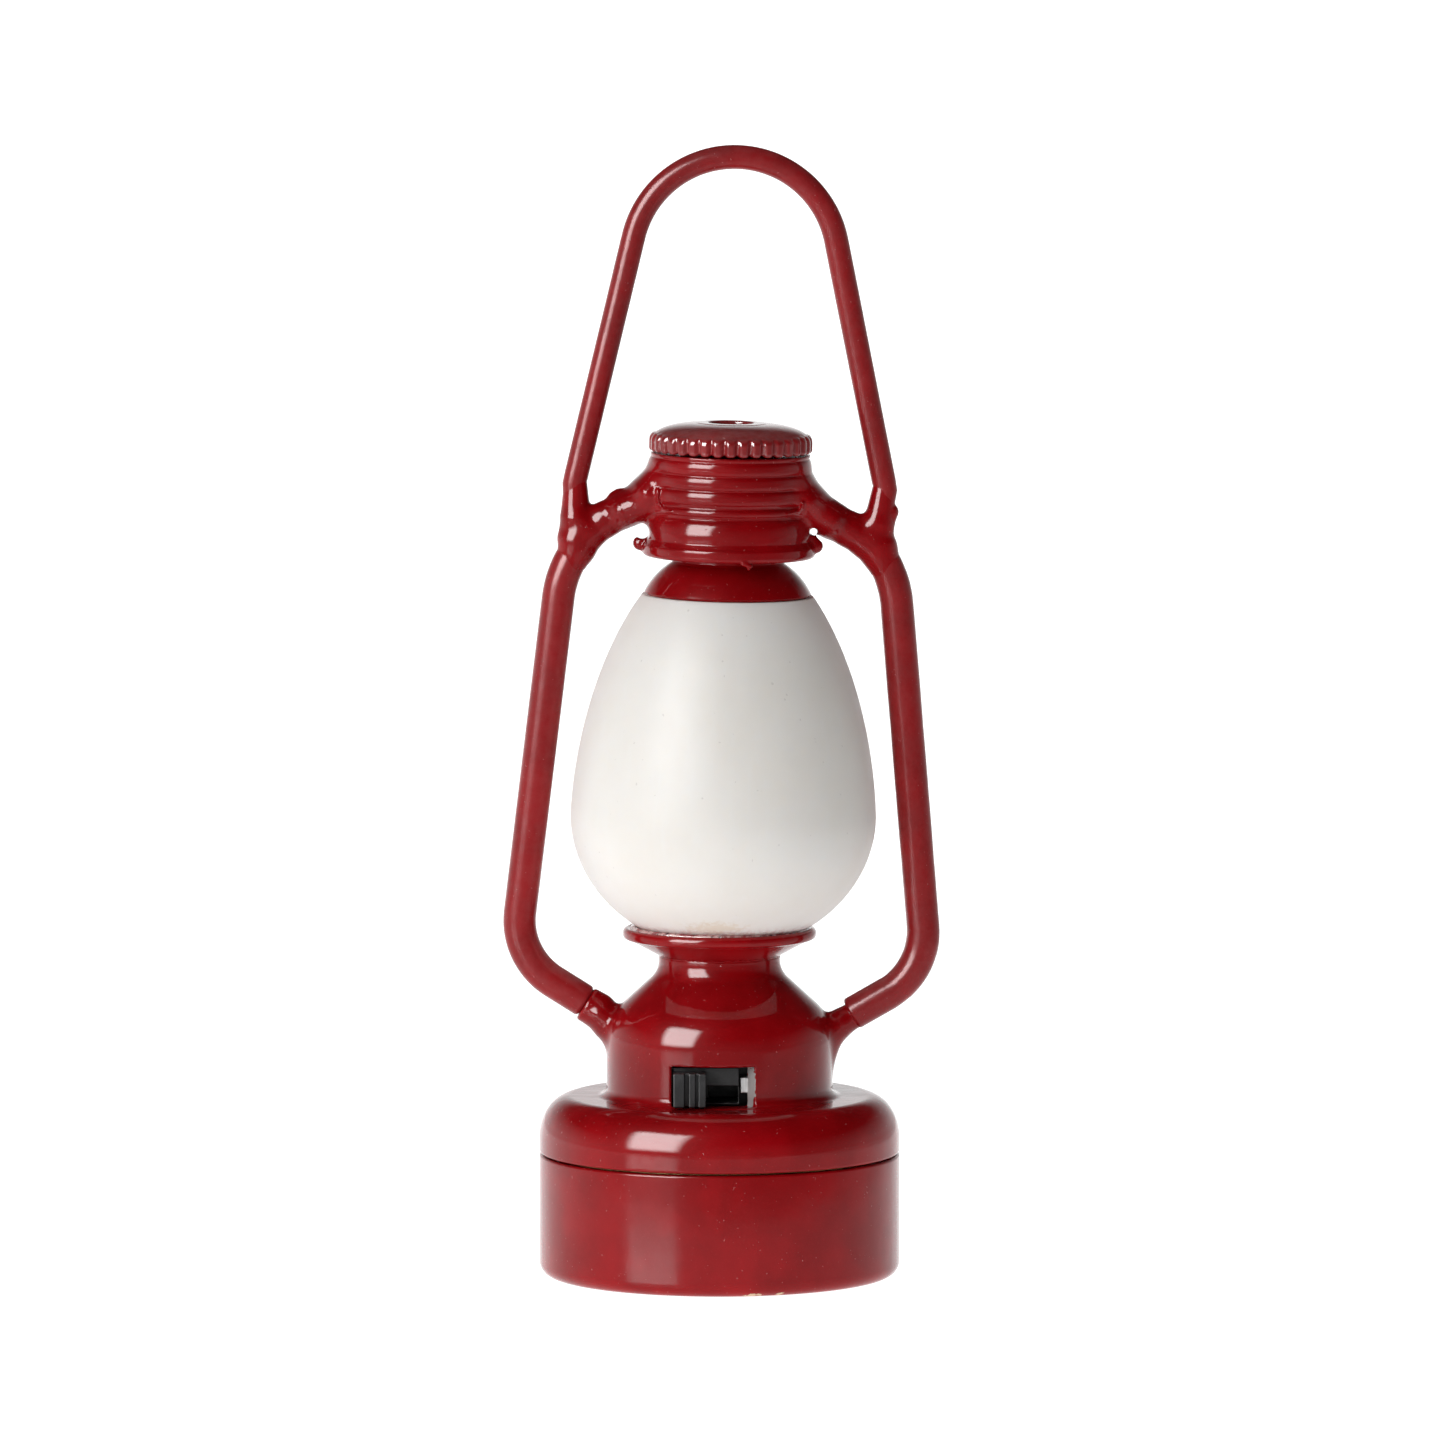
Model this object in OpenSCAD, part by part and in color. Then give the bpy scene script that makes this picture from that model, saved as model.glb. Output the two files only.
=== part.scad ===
// Miniature hurricane lantern with a frosted globe, an LED, a slide switch and a screw-on
// battery cover. Millimetres. +Z is up, the switch faces -Y, and the lantern stands on z = 0.

/* [Overall] */
// Height of the top of the bail above the surface
total_h = 70; // [69:0.5:74]
// Sideways lean of the hand-soldered frame above the ears, degrees
frame_lean = 1.15; // [0:0.05:1.3]
// Height of the point that the frame leans about
lean_z = 17; // [16.5:0.1:17.5]

/* [Base] */
// Radius of the base and of the battery cover
base_r = 11.15; // [11:0.05:12]
// Height of the seam between the cover and the base
seam_z = 7.6; // [7.5:0.05:7.8]
// Width of the open seam line
seam_gap = 0.1; // [0.05:0.01:0.15]
// Height of the flat top of the shoulder
shoulder_z = 11.15; // [11:0.05:11.3]
// Radius of the drum that holds the switch
drum_r = 7; // [6.9:0.05:7.2]
// Wall thickness of the drum
drum_wall = 1.1; // [1:0.05:1.15]
// Radius of the waist below the globe cup
neck_r = 3.76; // [3.7:0.02:3.9]
// Height of the waist
neck_z = 19.58; // [19.5:0.02:19.7]
// Radius of the globe cup's rim
cup_r = 6; // [5.8:0.05:6.2]
// Height of the globe cup's rim
cup_z = 21.6; // [21.5:0.05:21.7]

/* [Battery cover] */
// Thickness of the cover's floor
cover_floor = 1; // [0.8:0.05:1]
// Thickness of the cover's wall
cover_wall = 1.05; // [1:0.05:1.1]
// Radius of the cover's bottom edge
cover_edge_r = 1; // [0.8:0.1:1.4]

/* [Screw thread] */
// Travel of the cover in one turn
thread_lead = 1.2; // [1.2:0.1:1.3]
// Outer radius of the threaded ring, without its ridge
ring_r = 9.5; // [9.45:0.01:9.55]
// Height of a ridge above its wall
ridge_h = 0.42; // [0.35:0.01:0.42]

/* [Coin cell] */
// Radius of the cell
cell_r = 8; // [7.8:0.1:8]
// Thickness of the cell
cell_h = 3.2; // [2:0.1:3.2]
// Height of the cell's lower face
cell_z = 3.6; // [3.6:0.05:3.7]

/* [Switch] */
// Left edge of the switch window
window_x0 = -2.95; // [-3:0.05:-2.9]
// Right edge of the switch window
window_x1 = 2.22; // [2.2:0.02:2.3]
// Lower edge of the switch window
window_z0 = 11.2; // [11.2:0.02:11.3]
// Upper edge of the switch window
window_z1 = 13.7; // [13.6:0.05:13.8]
// Width of the lever's head
lever_w = 2; // [1.8:0.1:2]

/* [Globe] */
// Largest radius of the globe
globe_r = 9.44; // [9.2:0.02:9.5]
// Height of the globe's widest point
globe_mid_z = 28.6; // [28.5:0.05:28.7]
// Height of the lower half of the egg
globe_low_h = 8.4; // [8.3:0.05:8.5]
// Height of the full upper half of the egg
globe_high_h = 17; // [16.8:0.1:17.2]
// Height of the joint with the crown
globe_top_z = 42.2; // [42:0.05:42.3]
// Thickness of the globe's wall
globe_wall = 0.9; // [0.7:0.05:1]

/* [Collar and cap] */
// Radius of the collar's bands
collar_r = 5; // [4.9:0.05:5.1]
// Height of the collar's lower edge
collar_z0 = 44.6; // [44.5:0.05:44.7]
// Height of the collar's upper edge
collar_z1 = 51; // [50.9:0.05:51.05]
// Radius of the chimney cap
cap_r = 5.05; // [5:0.05:5.2]
// Height of the chimney cap's lower edge
cap_z0 = 51.15; // [51.1:0.05:51.2]
// Thickness of the chimney cap
cap_h = 1.7; // [1.6:0.05:1.8]
// Number of flutes round the cap
flutes = 38; // [24:1:40]
// Radius of the vent hole in the cap
vent_r = 1.36; // [1.2:0.02:1.4]

/* [Frame and bail] */
// Radius of a strut
strut_r = 1.025; // [0.95:0.025:1.05]
// Outward tilt of a strut, degrees
strut_tilt = 5.9; // [5.5:0.1:6.2]
// Radius of the bail's wire
bail_wire_r = 0.75; // [0.7:0.05:0.8]
// Radius of the bail's round top, to the middle of the wire
bail_r = 6.38; // [6.2:0.02:6.5]
// Spread of the bail's legs, degrees
bail_tilt = 12.35; // [12:0.05:12.6]

/* [Hidden] */
$fn = 96;

red = "#8c1418";
steel = "#b8babd";
brass = "#c9a253";
black = "#17181a";
sides = [-1, 1];
slip = 0.03;
cut = 1;

// Seam and cover
cover_top = seam_z - seam_gap / 2;
base_z0 = seam_z + seam_gap / 2;
cover_in_r = base_r - cover_wall;
seam_edge_r = 0.15;

// Thread: the cover's ridge runs half a lead away from the ring's ridge
ridge_root = 0.52;
ridge_crest = 0.26;
ridge_sunk = 0.12;
thread_z = 4.5;
ring_turns = 2;
cover_turns = 1.5;
turn_steps = 40;

// Threaded ring, contact board and their seat in the base
ring_z0 = 3.9;
ring_wall = 0.55;
board_z = 8.6;
board_t = 0.8;
board_r = 9.3;
board_top = board_z + board_t;
ring_z1 = board_z - slip;
seat_z = 9.65;
shoulder_wall = 0.95;
shoulder_rx = 1.95;
shoulder_rz = 2.55;
screw_x = 7.4;
screw_r = 0.45;
boss_r = 1;

// Drum and neck
drum_in_r = drum_r - drum_wall;
drum_round_r = 3.08;
drum_round_z = 14.6;
cone_angle = 47.5;
waist_r = 1.5;
flare_r = 0.5;
flare_angle = 58;
neck_bore_r = 2.75;
root_fillet = 0.55;

// Cell
cell_crimp_z = cell_z + 0.2;
cell_cap_r = cell_r - 1.07;
cell_cap_t = 1.16;
can_wall = 0.3;
cell_top_z = cell_z + cell_h;
sleeve_in_r = cell_r + 0.05;
sleeve_out_r = cell_r + 0.65;
spring_wire_r = 0.25;
plate_z = cover_floor + 0.05;
plate_r = 4.2;
plate_t = 0.2;

// Switch: the housing stands behind the window, and its nose reaches into it
nose_x0 = window_x0 + 0.1;
nose_x1 = 1.2;
nose_y = -6;
block_x0 = -3.9;
block_x1 = 3.25;
block_y0 = -4.25;
block_y1 = -1.8;
block_z0 = 10.95;
block_z1 = 13.85;
room_z0 = 11.3;
tab_z0 = 12;
tab_z1 = 12.95;
slot_z1 = 12.45;
lever_x0 = window_x0 + 0.12;
stem_w = 1.6;
stem_t = 0.9;
foot_w = 2.3;
foot_y = -4;
foot_t = 0.6;
terminal_z = 12.2;
terminal_pitch = 1.5;
terminal_w = 0.5;
terminal_t = 0.3;
switch_x = (block_x0 + block_x1) / 2;
terminal_y = block_y1 + 1.75;

// Lamp
lead_x = 1.27;
lead_r = 0.24;
lead_z0 = 16.4;
lens_r = 1.5;
lens_flange_r = 1.9;
lens_z = 20;
wire_r = 0.35;

// Globe and crown
globe_mouth_r = 2.95;
seat_gap = 0.25;
seal_low = seat_gap - 0.015;
seal_high = 0.16;
seal_in_r = 4.6;
cup_seat_r = 5.3;
crown_rim_r = 5.15;
crown_round_r = 4.5;
crown_round_z = 40.4;
crown_a0 = 26;
crown_a1 = 58;
crown_neck_r = 3.42;
crown_spigot_r = 4.2;
crown_bore_r = 2.4;
crown_top_z = 48;
collar_bore_r = crown_neck_r + slip;

// Collar: three bands above a groove, a bell below it and a flange at the foot
band_bulge = 0.16;
band_h = 0.84;
band_pitch = 0.9;
band_z = 48.55;
collar_rim_r = 4.92;
collar_rim_h = 0.15;
flange_r = 5.35;
flange_h = 1;
bell_r = 5.1;
groove_r = 4.78;
groove_z = 47.85;
lug_x = 5.55;
lug_r = 0.5;
collar_top_t = 1.1;
eyelet_r = 1.75;
eyelet_flange_r = 2.3;

// Frame: places in the plane of the frame, as [x, z]
strut_low_left = [7.95, 21.85];
strut_low_right = [8, 21.5];
strut_low_r = 4.5;
ear_drop = 31;
ear_x = 8.3;
ear_r = strut_r + 0.08;
ear_root = [5.6, 15.1];
ear_root_r = 1.75;
strut_high_centre = [3.885, 41.17];
strut_high_r = 6.59;
strut_high_turn = 29;
gooseneck_r = 3;
gooseneck_end = 72;
gooseneck_straight = 0.6;
knuckle = [9.6, 46.45];
knuckle_r = 1.15;
arm_mid = [7, 47.25];
arm_root = [4.3, 48.7];
arm_r = 0.9;
arm_root_r = 1.8;
bail_foot_z = 47.2;
bail_centre_z = total_h - bail_r - bail_wire_r;

// Points of an arc, or of part of an ellipse, as [radius, height]
function arc(centre, rx, rz, a0, a1, n = 8) = [
    for (i = [0:n]) let (a = a0 + (a1 - a0) * i / n) centre + [rx * cos(a), rz * sin(a)]
];
// Radius of the egg at height z, taken in by t all round
function egg_low(z, t) = (globe_r - t) * sqrt(1 - pow((globe_mid_z - z) / (globe_low_h - t), 2));
function egg_high(z, t) = let (u = (z - globe_mid_z) / (globe_high_h - t))
    (globe_r - t) * sqrt(1 - u * u) * (1 - 0.083 * u);
// Height of the egg's lower half at radius r
function egg_z(r, t) = globe_mid_z - (globe_low_h - t) * sqrt(1 - pow(r / (globe_r - t), 2));
// Outline of the egg from its lower mouth, at radius r0, to its upper mouth, at height z1
function egg(r0, z1, t) = concat(
    [for (i = [0:14]) let (r = r0 + (globe_r - t - r0) * sin(90 * i / 14)) [r, egg_z(r, t)]],
    [for (i = [1:16]) let (z = globe_mid_z + (z1 - globe_mid_z) * i / 16) [egg_high(z, t), z]]
);
function reverse(list) = [for (i = [len(list) - 1:-1:0]) list[i]];
function unit(v) = v / norm(v);

// Surface of a tube along points, with a ring of m points at each of them. No stretch of the
// tube may run along the direction flat
module tube(points, r, flat, m = 8) {
    n = len(points);
    rings = [
        for (i = [0:n - 1])
            let (
                ahead = unit(points[min(i + 1, n - 1)] - points[max(i - 1, 0)]),
                side = unit(cross(ahead, flat)),
                up = cross(side, ahead)
            )
            for (j = [0:m - 1]) points[i] + r * (cos(360 * j / m) * side + sin(360 * j / m) * up)
    ];
    skin = [
        for (i = [0:n - 2]) for (j = [0:m - 1])
            let (k = (j + 1) % m, a = i * m, b = (i + 1) * m)
            for (t = [[a + j, b + j, b + k], [a + j, b + k, a + k]]) t
    ];
    ends = [[for (j = [0:m - 1]) j], [for (j = [m - 1:-1:0]) (n - 1) * m + j]];
    polyhedron(rings, concat(skin, ends));
}

// Points of a smooth curve through a few places
function spline(p, n = 5) = [
    for (i = [0:len(p) - 2]) for (j = [0:(i == len(p) - 2 ? n : n - 1)])
        let (
            t = j / n,
            a = p[max(i - 1, 0)],
            b = p[i],
            c = p[i + 1],
            d = p[min(i + 2, len(p) - 1)]
        )
        0.5 * (2 * b + (c - a) * t + (2 * a - 5 * b + 4 * c - d) * t * t
            + (3 * b - a - 3 * c + d) * t * t * t)
];

// One ridge of a right-hand thread on a wall of radius r; side is 1 outwards, -1 inwards
module ridge(r, side, z0, turns) {
    n = turns * turn_steps;
    foot = r - side * ridge_sunk;
    section = [
        [foot, -ridge_root / 2], [r + side * ridge_h, -ridge_crest / 2],
        [r + side * ridge_h, ridge_crest / 2], [foot, ridge_root / 2]
    ];
    points = [
        for (i = [0:n]) let (a = 360 * i / turn_steps) for (q = section)
            [q[0] * cos(a), q[0] * sin(a), z0 + q[1] + thread_lead * i / turn_steps]
    ];
    skin = [
        for (i = [0:n - 1]) for (j = [0:3])
            let (k = (j + 1) % 4, f = [i * 4 + j, (i + 1) * 4 + j, (i + 1) * 4 + k, i * 4 + k])
            for (t = [[f[0], f[1], f[2]], [f[0], f[2], f[3]]]) side < 0 ? t : reverse(t)
    ];
    low = [[0, 1, 2], [0, 2, 3]];
    high = [[4 * n, 4 * n + 2, 4 * n + 1], [4 * n, 4 * n + 3, 4 * n + 2]];
    ends = concat(low, high);
    polyhedron(points, concat(skin, [for (t = ends) side < 0 ? t : reverse(t)]));
}

module ring(r_out, r_in, z0, z1) {
    translate([0, 0, z0]) difference() {
        cylinder(r = r_out, h = z1 - z0);
        translate([0, 0, -cut]) cylinder(r = r_in, h = z1 - z0 + 2 * cut);
    }
}

module block(p0, p1) {
    translate(p0) cube(p1 - p0);
}

// Turns the frame about the ears
module leaning() {
    translate([0, 0, lean_z]) rotate([0, frame_lean, 0]) translate([0, 0, -lean_z]) children();
}

// Round bar between two places of the frame's plane
module bar(a, b, r1, r2) {
    d = b - a;
    translate([a[0], 0, a[1]]) rotate([0, atan2(d[0], d[1]), 0]) cylinder(r1 = r1, r2 = r2, h = norm(d));
}

// Round bar bent to an arc of the frame's plane, from angle a0 to angle a1
module bend(centre, big_r, r, a0, a1) {
    translate([centre[0], 0, centre[1]]) rotate([90, 0, 0]) rotate([0, 0, a0])
        rotate_extrude(angle = a1 - a0) translate([big_r, 0]) circle(r = r);
}

function on_arc(centre, r, a) = centre + r * [cos(a), sin(a)];

// Ends of the strut's parts
leg_angle = ear_drop - 90;
ear_dir = [cos(ear_drop), sin(ear_drop)];
// Place where the strut with its low bend round this centre meets its ear
function ear_joint(low) = let (start = on_arc(low, strut_low_r, leg_angle))
    start - ear_dir * (start[0] - ear_x) / ear_dir[0];
// The lean brings the right strut nearer to its ear by this, and takes the left one away
lean_gap = ear_x * sin(frame_lean) * sin(ear_drop);
solder_gap = 0.1;
high_end_angle = strut_tilt + strut_high_turn;
strut_top = on_arc(strut_high_centre, strut_high_r, high_end_angle);
gooseneck_dir = [-sin(high_end_angle), cos(high_end_angle)];
gooseneck_start = strut_top + gooseneck_straight * gooseneck_dir;
gooseneck_centre = gooseneck_start - gooseneck_r * [cos(high_end_angle), sin(high_end_angle)];
bail_leg_top = [bail_r * cos(bail_tilt), bail_centre_z + bail_r * sin(bail_tilt)];
bail_leg_dir = [sin(bail_tilt), -cos(bail_tilt)];
bail_foot = bail_leg_top + bail_leg_dir * (bail_leg_top[1] - bail_foot_z) / cos(bail_tilt);

module battery_cover() {
    color(red) {
        rotate_extrude() polygon(concat(
            [[0, 0]],
            arc([base_r - cover_edge_r, cover_edge_r], cover_edge_r, cover_edge_r, -90, 0),
            arc([base_r - seam_edge_r, cover_top - seam_edge_r], seam_edge_r, seam_edge_r, 0, 90, 3),
            [[cover_in_r, cover_top], [cover_in_r, cover_floor], [0, cover_floor]]
        ));
        ridge(cover_in_r, -1, thread_z + thread_lead / 2, cover_turns);
    }
}

module contact_plate() {
    color(brass) translate([0, 0, plate_z]) cylinder(r = plate_r, h = plate_t);
}

module contact_spring() {
    turns = 3;
    steps = 20;
    foot_r = 3.3;
    taper = 1.6;
    z0 = plate_z + plate_t + spring_wire_r + 0.02;
    z1 = cell_z - spring_wire_r - 0.05;
    n = turns * steps;
    color(steel) tube([
        for (i = [0:n])
            let (a = 360 * i / steps, t = max(0, min(1, (i - steps / 2) / (n - steps))), r = foot_r - taper * t)
            [r * cos(a), r * sin(a), z0 + (z1 - z0) * t]
    ], spring_wire_r, [0, 0, 1]);
}

module cell_sleeve() {
    color(black) {
        ring(sleeve_out_r, sleeve_in_r, cover_floor + 0.08, cell_top_z + 0.2);
        ring(sleeve_in_r + 0.1, cell_r - 0.6, cell_crimp_z - 0.9, cell_crimp_z - 0.3);
    }
}

module cell_can() {
    color(steel) difference() {
        translate([0, 0, cell_crimp_z]) cylinder(r = cell_r, h = cell_top_z - cell_crimp_z);
        translate([0, 0, cell_crimp_z - cut]) cylinder(r = cell_r - can_wall, h = cut + 1);
    }
}

module cell_gasket() {
    color(black) ring(cell_r - 0.32, cell_cap_r + 0.02, cell_crimp_z - 0.05, cell_crimp_z + 0.98);
}

module cell_cap() {
    color(steel) translate([0, 0, cell_z]) cylinder(r = cell_cap_r, h = cell_cap_t);
}

// Outside of the base: shoulder, drum, cone, waist and flared cup
function base_outline() = concat(
    arc([base_r - seam_edge_r, base_z0 + seam_edge_r], seam_edge_r, seam_edge_r, -90, 0, 3),
    arc([base_r - shoulder_rx, shoulder_z - shoulder_rz], shoulder_rx, shoulder_rz, 0, 90, 12),
    reverse(arc([drum_r + root_fillet, shoulder_z + root_fillet], root_fillet, root_fillet, 180, 270, 5)),
    arc([drum_r - drum_round_r, drum_round_z], drum_round_r, drum_round_r, 0, cone_angle, 8),
    reverse(arc([neck_r + waist_r, neck_z], waist_r, waist_r, 180, 180 + cone_angle, 6)),
    arc([neck_r + flare_r, neck_z], flare_r, flare_r, 180, 180 - flare_angle, 4),
    [[cup_r - 0.35, cup_z - 0.5]],
    arc([cup_r - 0.3, cup_z - 0.25], 0.3, 0.25, -45, 125, 6)
);

// Inside of the base, from the cup's seat down to the seat of the threaded ring
function base_cavity() = concat(
    [[0, cup_z + cut], [cup_seat_r, cup_z + cut]],
    [
        for (i = [0:6]) let (r = cup_seat_r - (cup_seat_r - neck_bore_r) * i / 6)
            [r, egg_z(r, -seat_gap)]
    ],
    [
        [neck_bore_r, neck_z - 1.2], [4.2, 17.1], [drum_in_r - 0.5, 15.6], [drum_in_r, 14.4],
        [drum_in_r, shoulder_z - shoulder_wall], [8.7, shoulder_z - shoulder_wall],
        [ring_r + slip, seat_z], [ring_r + slip, base_z0 - cut], [0, base_z0 - cut]
    ]
);

// One ear: a socket for the strut's end and a web that runs down into the drum
module ear(joint) {
    bar(joint, joint - 2 * ear_dir, ear_r, ear_r);
    bar(joint - 0.9 * ear_dir, ear_root, ear_r + 0.2, ear_root_r);
}

module ears() {
    ear(ear_joint(strut_low_right));
    mirror([1, 0, 0]) ear(ear_joint(strut_low_left));
}

module base_body() {
    color(red) difference() {
        union() {
            difference() {
                union() {
                    rotate_extrude() polygon(concat([[0, base_z0]], base_outline(), [[0, cup_z - 0.05]]));
                    ears();
                }
                rotate_extrude() polygon(base_cavity());
            }
            for (s = sides) translate([s * screw_x, 0, board_top + slip])
                cylinder(r = boss_r, h = shoulder_z - 0.7 - board_top);
        }
        block([window_x0, -drum_r - cut, window_z0], [window_x1, -drum_in_r + 2, window_z1]);
        for (s = sides) translate([s * screw_x, 0, board_z])
            cylinder(r = screw_r + slip, h = 2.1);
    }
}

module threaded_ring() {
    color(brass) {
        ring(ring_r, ring_r - ring_wall, ring_z0, ring_z1);
        ridge(ring_r, 1, thread_z, ring_turns);
    }
}

module contact_board() {
    color("#1f5a38") difference() {
        translate([0, 0, board_z]) cylinder(r = board_r, h = board_t);
        for (s = sides) translate([s * screw_x, 0, board_z - cut])
            cylinder(r = screw_r + 0.05, h = board_t + 2 * cut);
    }
}

module positive_contact() {
    leaf_l = 6;
    leaf_w = 2.5;
    leaf_t = 0.2;
    pad_x = 1.5;
    drop = 15;
    color(brass) translate([pad_x, -leaf_w / 2, board_z - 0.05]) {
        translate([0, 0, -leaf_t]) cube([leaf_w, leaf_w, leaf_t]);
        rotate([0, -drop, 0]) translate([-leaf_l, 0, -leaf_t]) cube([leaf_l, leaf_w, leaf_t]);
    }
}

module board_screws() {
    head_r = 1;
    head_h = 0.5;
    slot_w = 0.24;
    slot_h = 0.25;
    color(steel) for (s = sides) translate([s * screw_x, 0, board_z - head_h - 0.05]) {
        difference() {
            cylinder(r = head_r, h = head_h);
            translate([-head_r - 0.2, -slot_w / 2, -cut]) cube([2 * head_r + 0.4, slot_w, cut + slot_h]);
        }
        translate([0, 0, head_h - 0.01]) cylinder(r = screw_r, h = 2);
    }
}

module resistor() {
    color(black) translate([-4.5, 1.5, board_top + 0.02]) cube([2, 1.25, 0.6]);
}

module switch_housing() {
    color(black) difference() {
        union() {
            block([block_x0, block_y0, block_z0], [block_x1, block_y1, block_z1]);
            block([nose_x0, nose_y, window_z0 + 0.1], [nose_x1, block_y0 + 0.1, window_z1 - 0.1]);
        }
        // Slot for the stem, and the room behind it for the foot and the wiper
        block([nose_x0 + 0.15, nose_y - cut, room_z0 + 0.12], [nose_x1 - 0.05, foot_y, slot_z1]);
        block([block_x0 + 0.4, foot_y - 0.1, room_z0], [block_x1 - 0.5, block_y1 - 0.5, 13.4]);
        for (i = [-1:1]) translate([switch_x + i * terminal_pitch, 0, terminal_z])
            cube([terminal_w + 2 * slip, 20, terminal_t + 2 * slip], center = true);
    }
}

module switch_frame() {
    t = 0.25;
    gap = 0.04;
    far = gap + t;
    color(steel) {
        // Back plate with a window for the terminals
        difference() {
            block([block_x0 - far, block_y1 + gap, block_z0], [block_x1 + far, block_y1 + far, block_z1]);
            block(
                [switch_x - 2, block_y1 - cut, terminal_z - 0.4],
                [switch_x + 2, block_y1 + cut, terminal_z + 0.4]
            );
        }
        // Side cheeks
        block([block_x0 - far, block_y0 + 0.3, 11.6], [block_x0 - gap, block_y1 + far, 13.2]);
        block([block_x1 + gap, block_y0 - 0.1, tab_z0], [block_x1 + far, block_y1 + far, tab_z1]);
        // Front tab that shows at the right end of the window
        block([nose_x1 + 0.08, block_y0 - far, tab_z0], [block_x1 + far, block_y0 - gap, tab_z1]);
        block([nose_x1 + 0.08, nose_y + 0.25, tab_z0], [nose_x1 + 0.58, block_y0 - gap, tab_z1]);
    }
}

module switch_terminals() {
    size = [terminal_w, 2.2, terminal_t];
    color(steel) for (i = [-1:1])
        translate([switch_x + i * terminal_pitch - terminal_w / 2, block_y1 - 0.45, terminal_z - terminal_t / 2])
            cube(size);
}

module switch_lever() {
    stem_x = lever_x0 + (lever_w - stem_w) / 2;
    foot_x = lever_x0 + (lever_w - foot_w) / 2;
    color(black) {
        difference() {
            block([lever_x0, -7.7, window_z0 + 0.12], [lever_x0 + lever_w, nose_y - 0.06, window_z1 - 0.3]);
            block([lever_x0 + 0.7, -8, window_z0 - cut], [lever_x0 + 0.98, -7.1, window_z1 + cut]);
            block([lever_x0 + 1.38, -8, window_z0 - cut], [lever_x0 + 1.54, -7.3, window_z1 + cut]);
        }
        block([stem_x, nose_y - 0.1, room_z0 + 0.2], [stem_x + stem_w, foot_y + 0.3, room_z0 + 0.2 + stem_t]);
        block([foot_x, foot_y, room_z0 + 0.1], [foot_x + foot_w, foot_y + foot_t, 13.2]);
    }
}

module switch_wiper() {
    x = lever_x0 + (lever_w - foot_w) / 2;
    y = foot_y + foot_t + 0.02;
    color(brass) {
        block([x, y, terminal_z - 0.4], [x + foot_w, y + 0.15, terminal_z + 0.4]);
        for (dx = [0.2, foot_w - 0.7])
            block([x + dx, y + 0.1, terminal_z - 0.4], [x + dx + 0.5, y + 0.75, terminal_z - 0.2]);
    }
}

module feed_wire() {
    color("#a01818") tube(spline([
        [-3, 3.5, board_top + 0.1], [-3, 3.4, 11], [-2.6, 2.2, 12.2], [-1.9, terminal_y + 0.9, 12.25],
        [-1.825, terminal_y + 0.05, terminal_z]
    ]), wire_r, [1, 0, 0]);
}

module lamp_wire() {
    color("#a01818") tube(spline([
        [-0.325, terminal_y + 0.05, terminal_z], [-0.4, 1.2, 12.4], [-1.1, 1.2, 13.6], [-1.27, 0.4, 15.2],
        [-lead_x, 0, lead_z0 - 0.05]
    ]), wire_r, [1, 0, 0]);
}

module return_wire() {
    color(black) tube(spline([
        [lead_x, 0, lead_z0 - 0.05], [1.5, 0.3, 15], [2.8, 1.8, 13], [3.6, 2.6, 11],
        [3.6, 2.8, board_top + 0.1]
    ]), wire_r, [1, 0, 0]);
}

module led_holder() {
    color("white") difference() {
        translate([0, 0, neck_z - 1.2]) cylinder(r = neck_bore_r - slip, h = 2.1);
        translate([0, 0, lens_z]) cylinder(r = lens_flange_r + slip, h = 2);
        for (s = sides) translate([s * lead_x, 0, 17]) cylinder(r = lead_r + slip, h = 5);
    }
}

module led_lens() {
    color("#fff3c8") {
        translate([0, 0, lens_z + 0.02]) cylinder(r = lens_flange_r, h = 0.9);
        translate([0, 0, lens_z + 0.5]) cylinder(r = lens_r, h = 4);
        translate([0, 0, lens_z + 4.5]) sphere(r = lens_r);
    }
}

module led_leads() {
    color(steel) for (s = sides) translate([s * lead_x, 0, lead_z0])
        cylinder(r = lead_r, h = lens_z - lead_z0);
}

module globe() {
    color("white") leaning() rotate_extrude() polygon(concat(
        egg(globe_mouth_r, globe_top_z, 0),
        reverse(egg(globe_mouth_r, globe_top_z, globe_wall))
    ));
}

// Ring of adhesive that lies on the cup's seat, below the leaning globe
module globe_seal() {
    radii = [for (i = [0:4]) seal_in_r + (cup_seat_r - slip - seal_in_r) * i / 4];
    color("#d8c8a8") rotate_extrude() polygon(concat(
        [for (r = radii) [r, egg_z(r, -seal_low)]],
        reverse([for (r = radii) [r, egg_z(r, -seal_high)]])
    ));
}

module globe_crown() {
    rim_z = globe_top_z + 0.02;
    crown_x = crown_rim_r - crown_round_r * cos(crown_a0);
    color(red) leaning() rotate_extrude() polygon(concat(
        [[crown_rim_r - 0.12, rim_z]],
        arc([crown_x, crown_round_z], crown_round_r, crown_round_r, crown_a0, crown_a1, 8),
        [
            [crown_neck_r, collar_z0 - 0.15], [crown_neck_r, crown_top_z], [crown_bore_r, crown_top_z],
            [crown_bore_r, 43.4], [3.4, 42.6], [crown_spigot_r - 0.6, rim_z - 1], [crown_spigot_r, rim_z - 1],
            [crown_spigot_r, rim_z]
        ]
    ));
}

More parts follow.
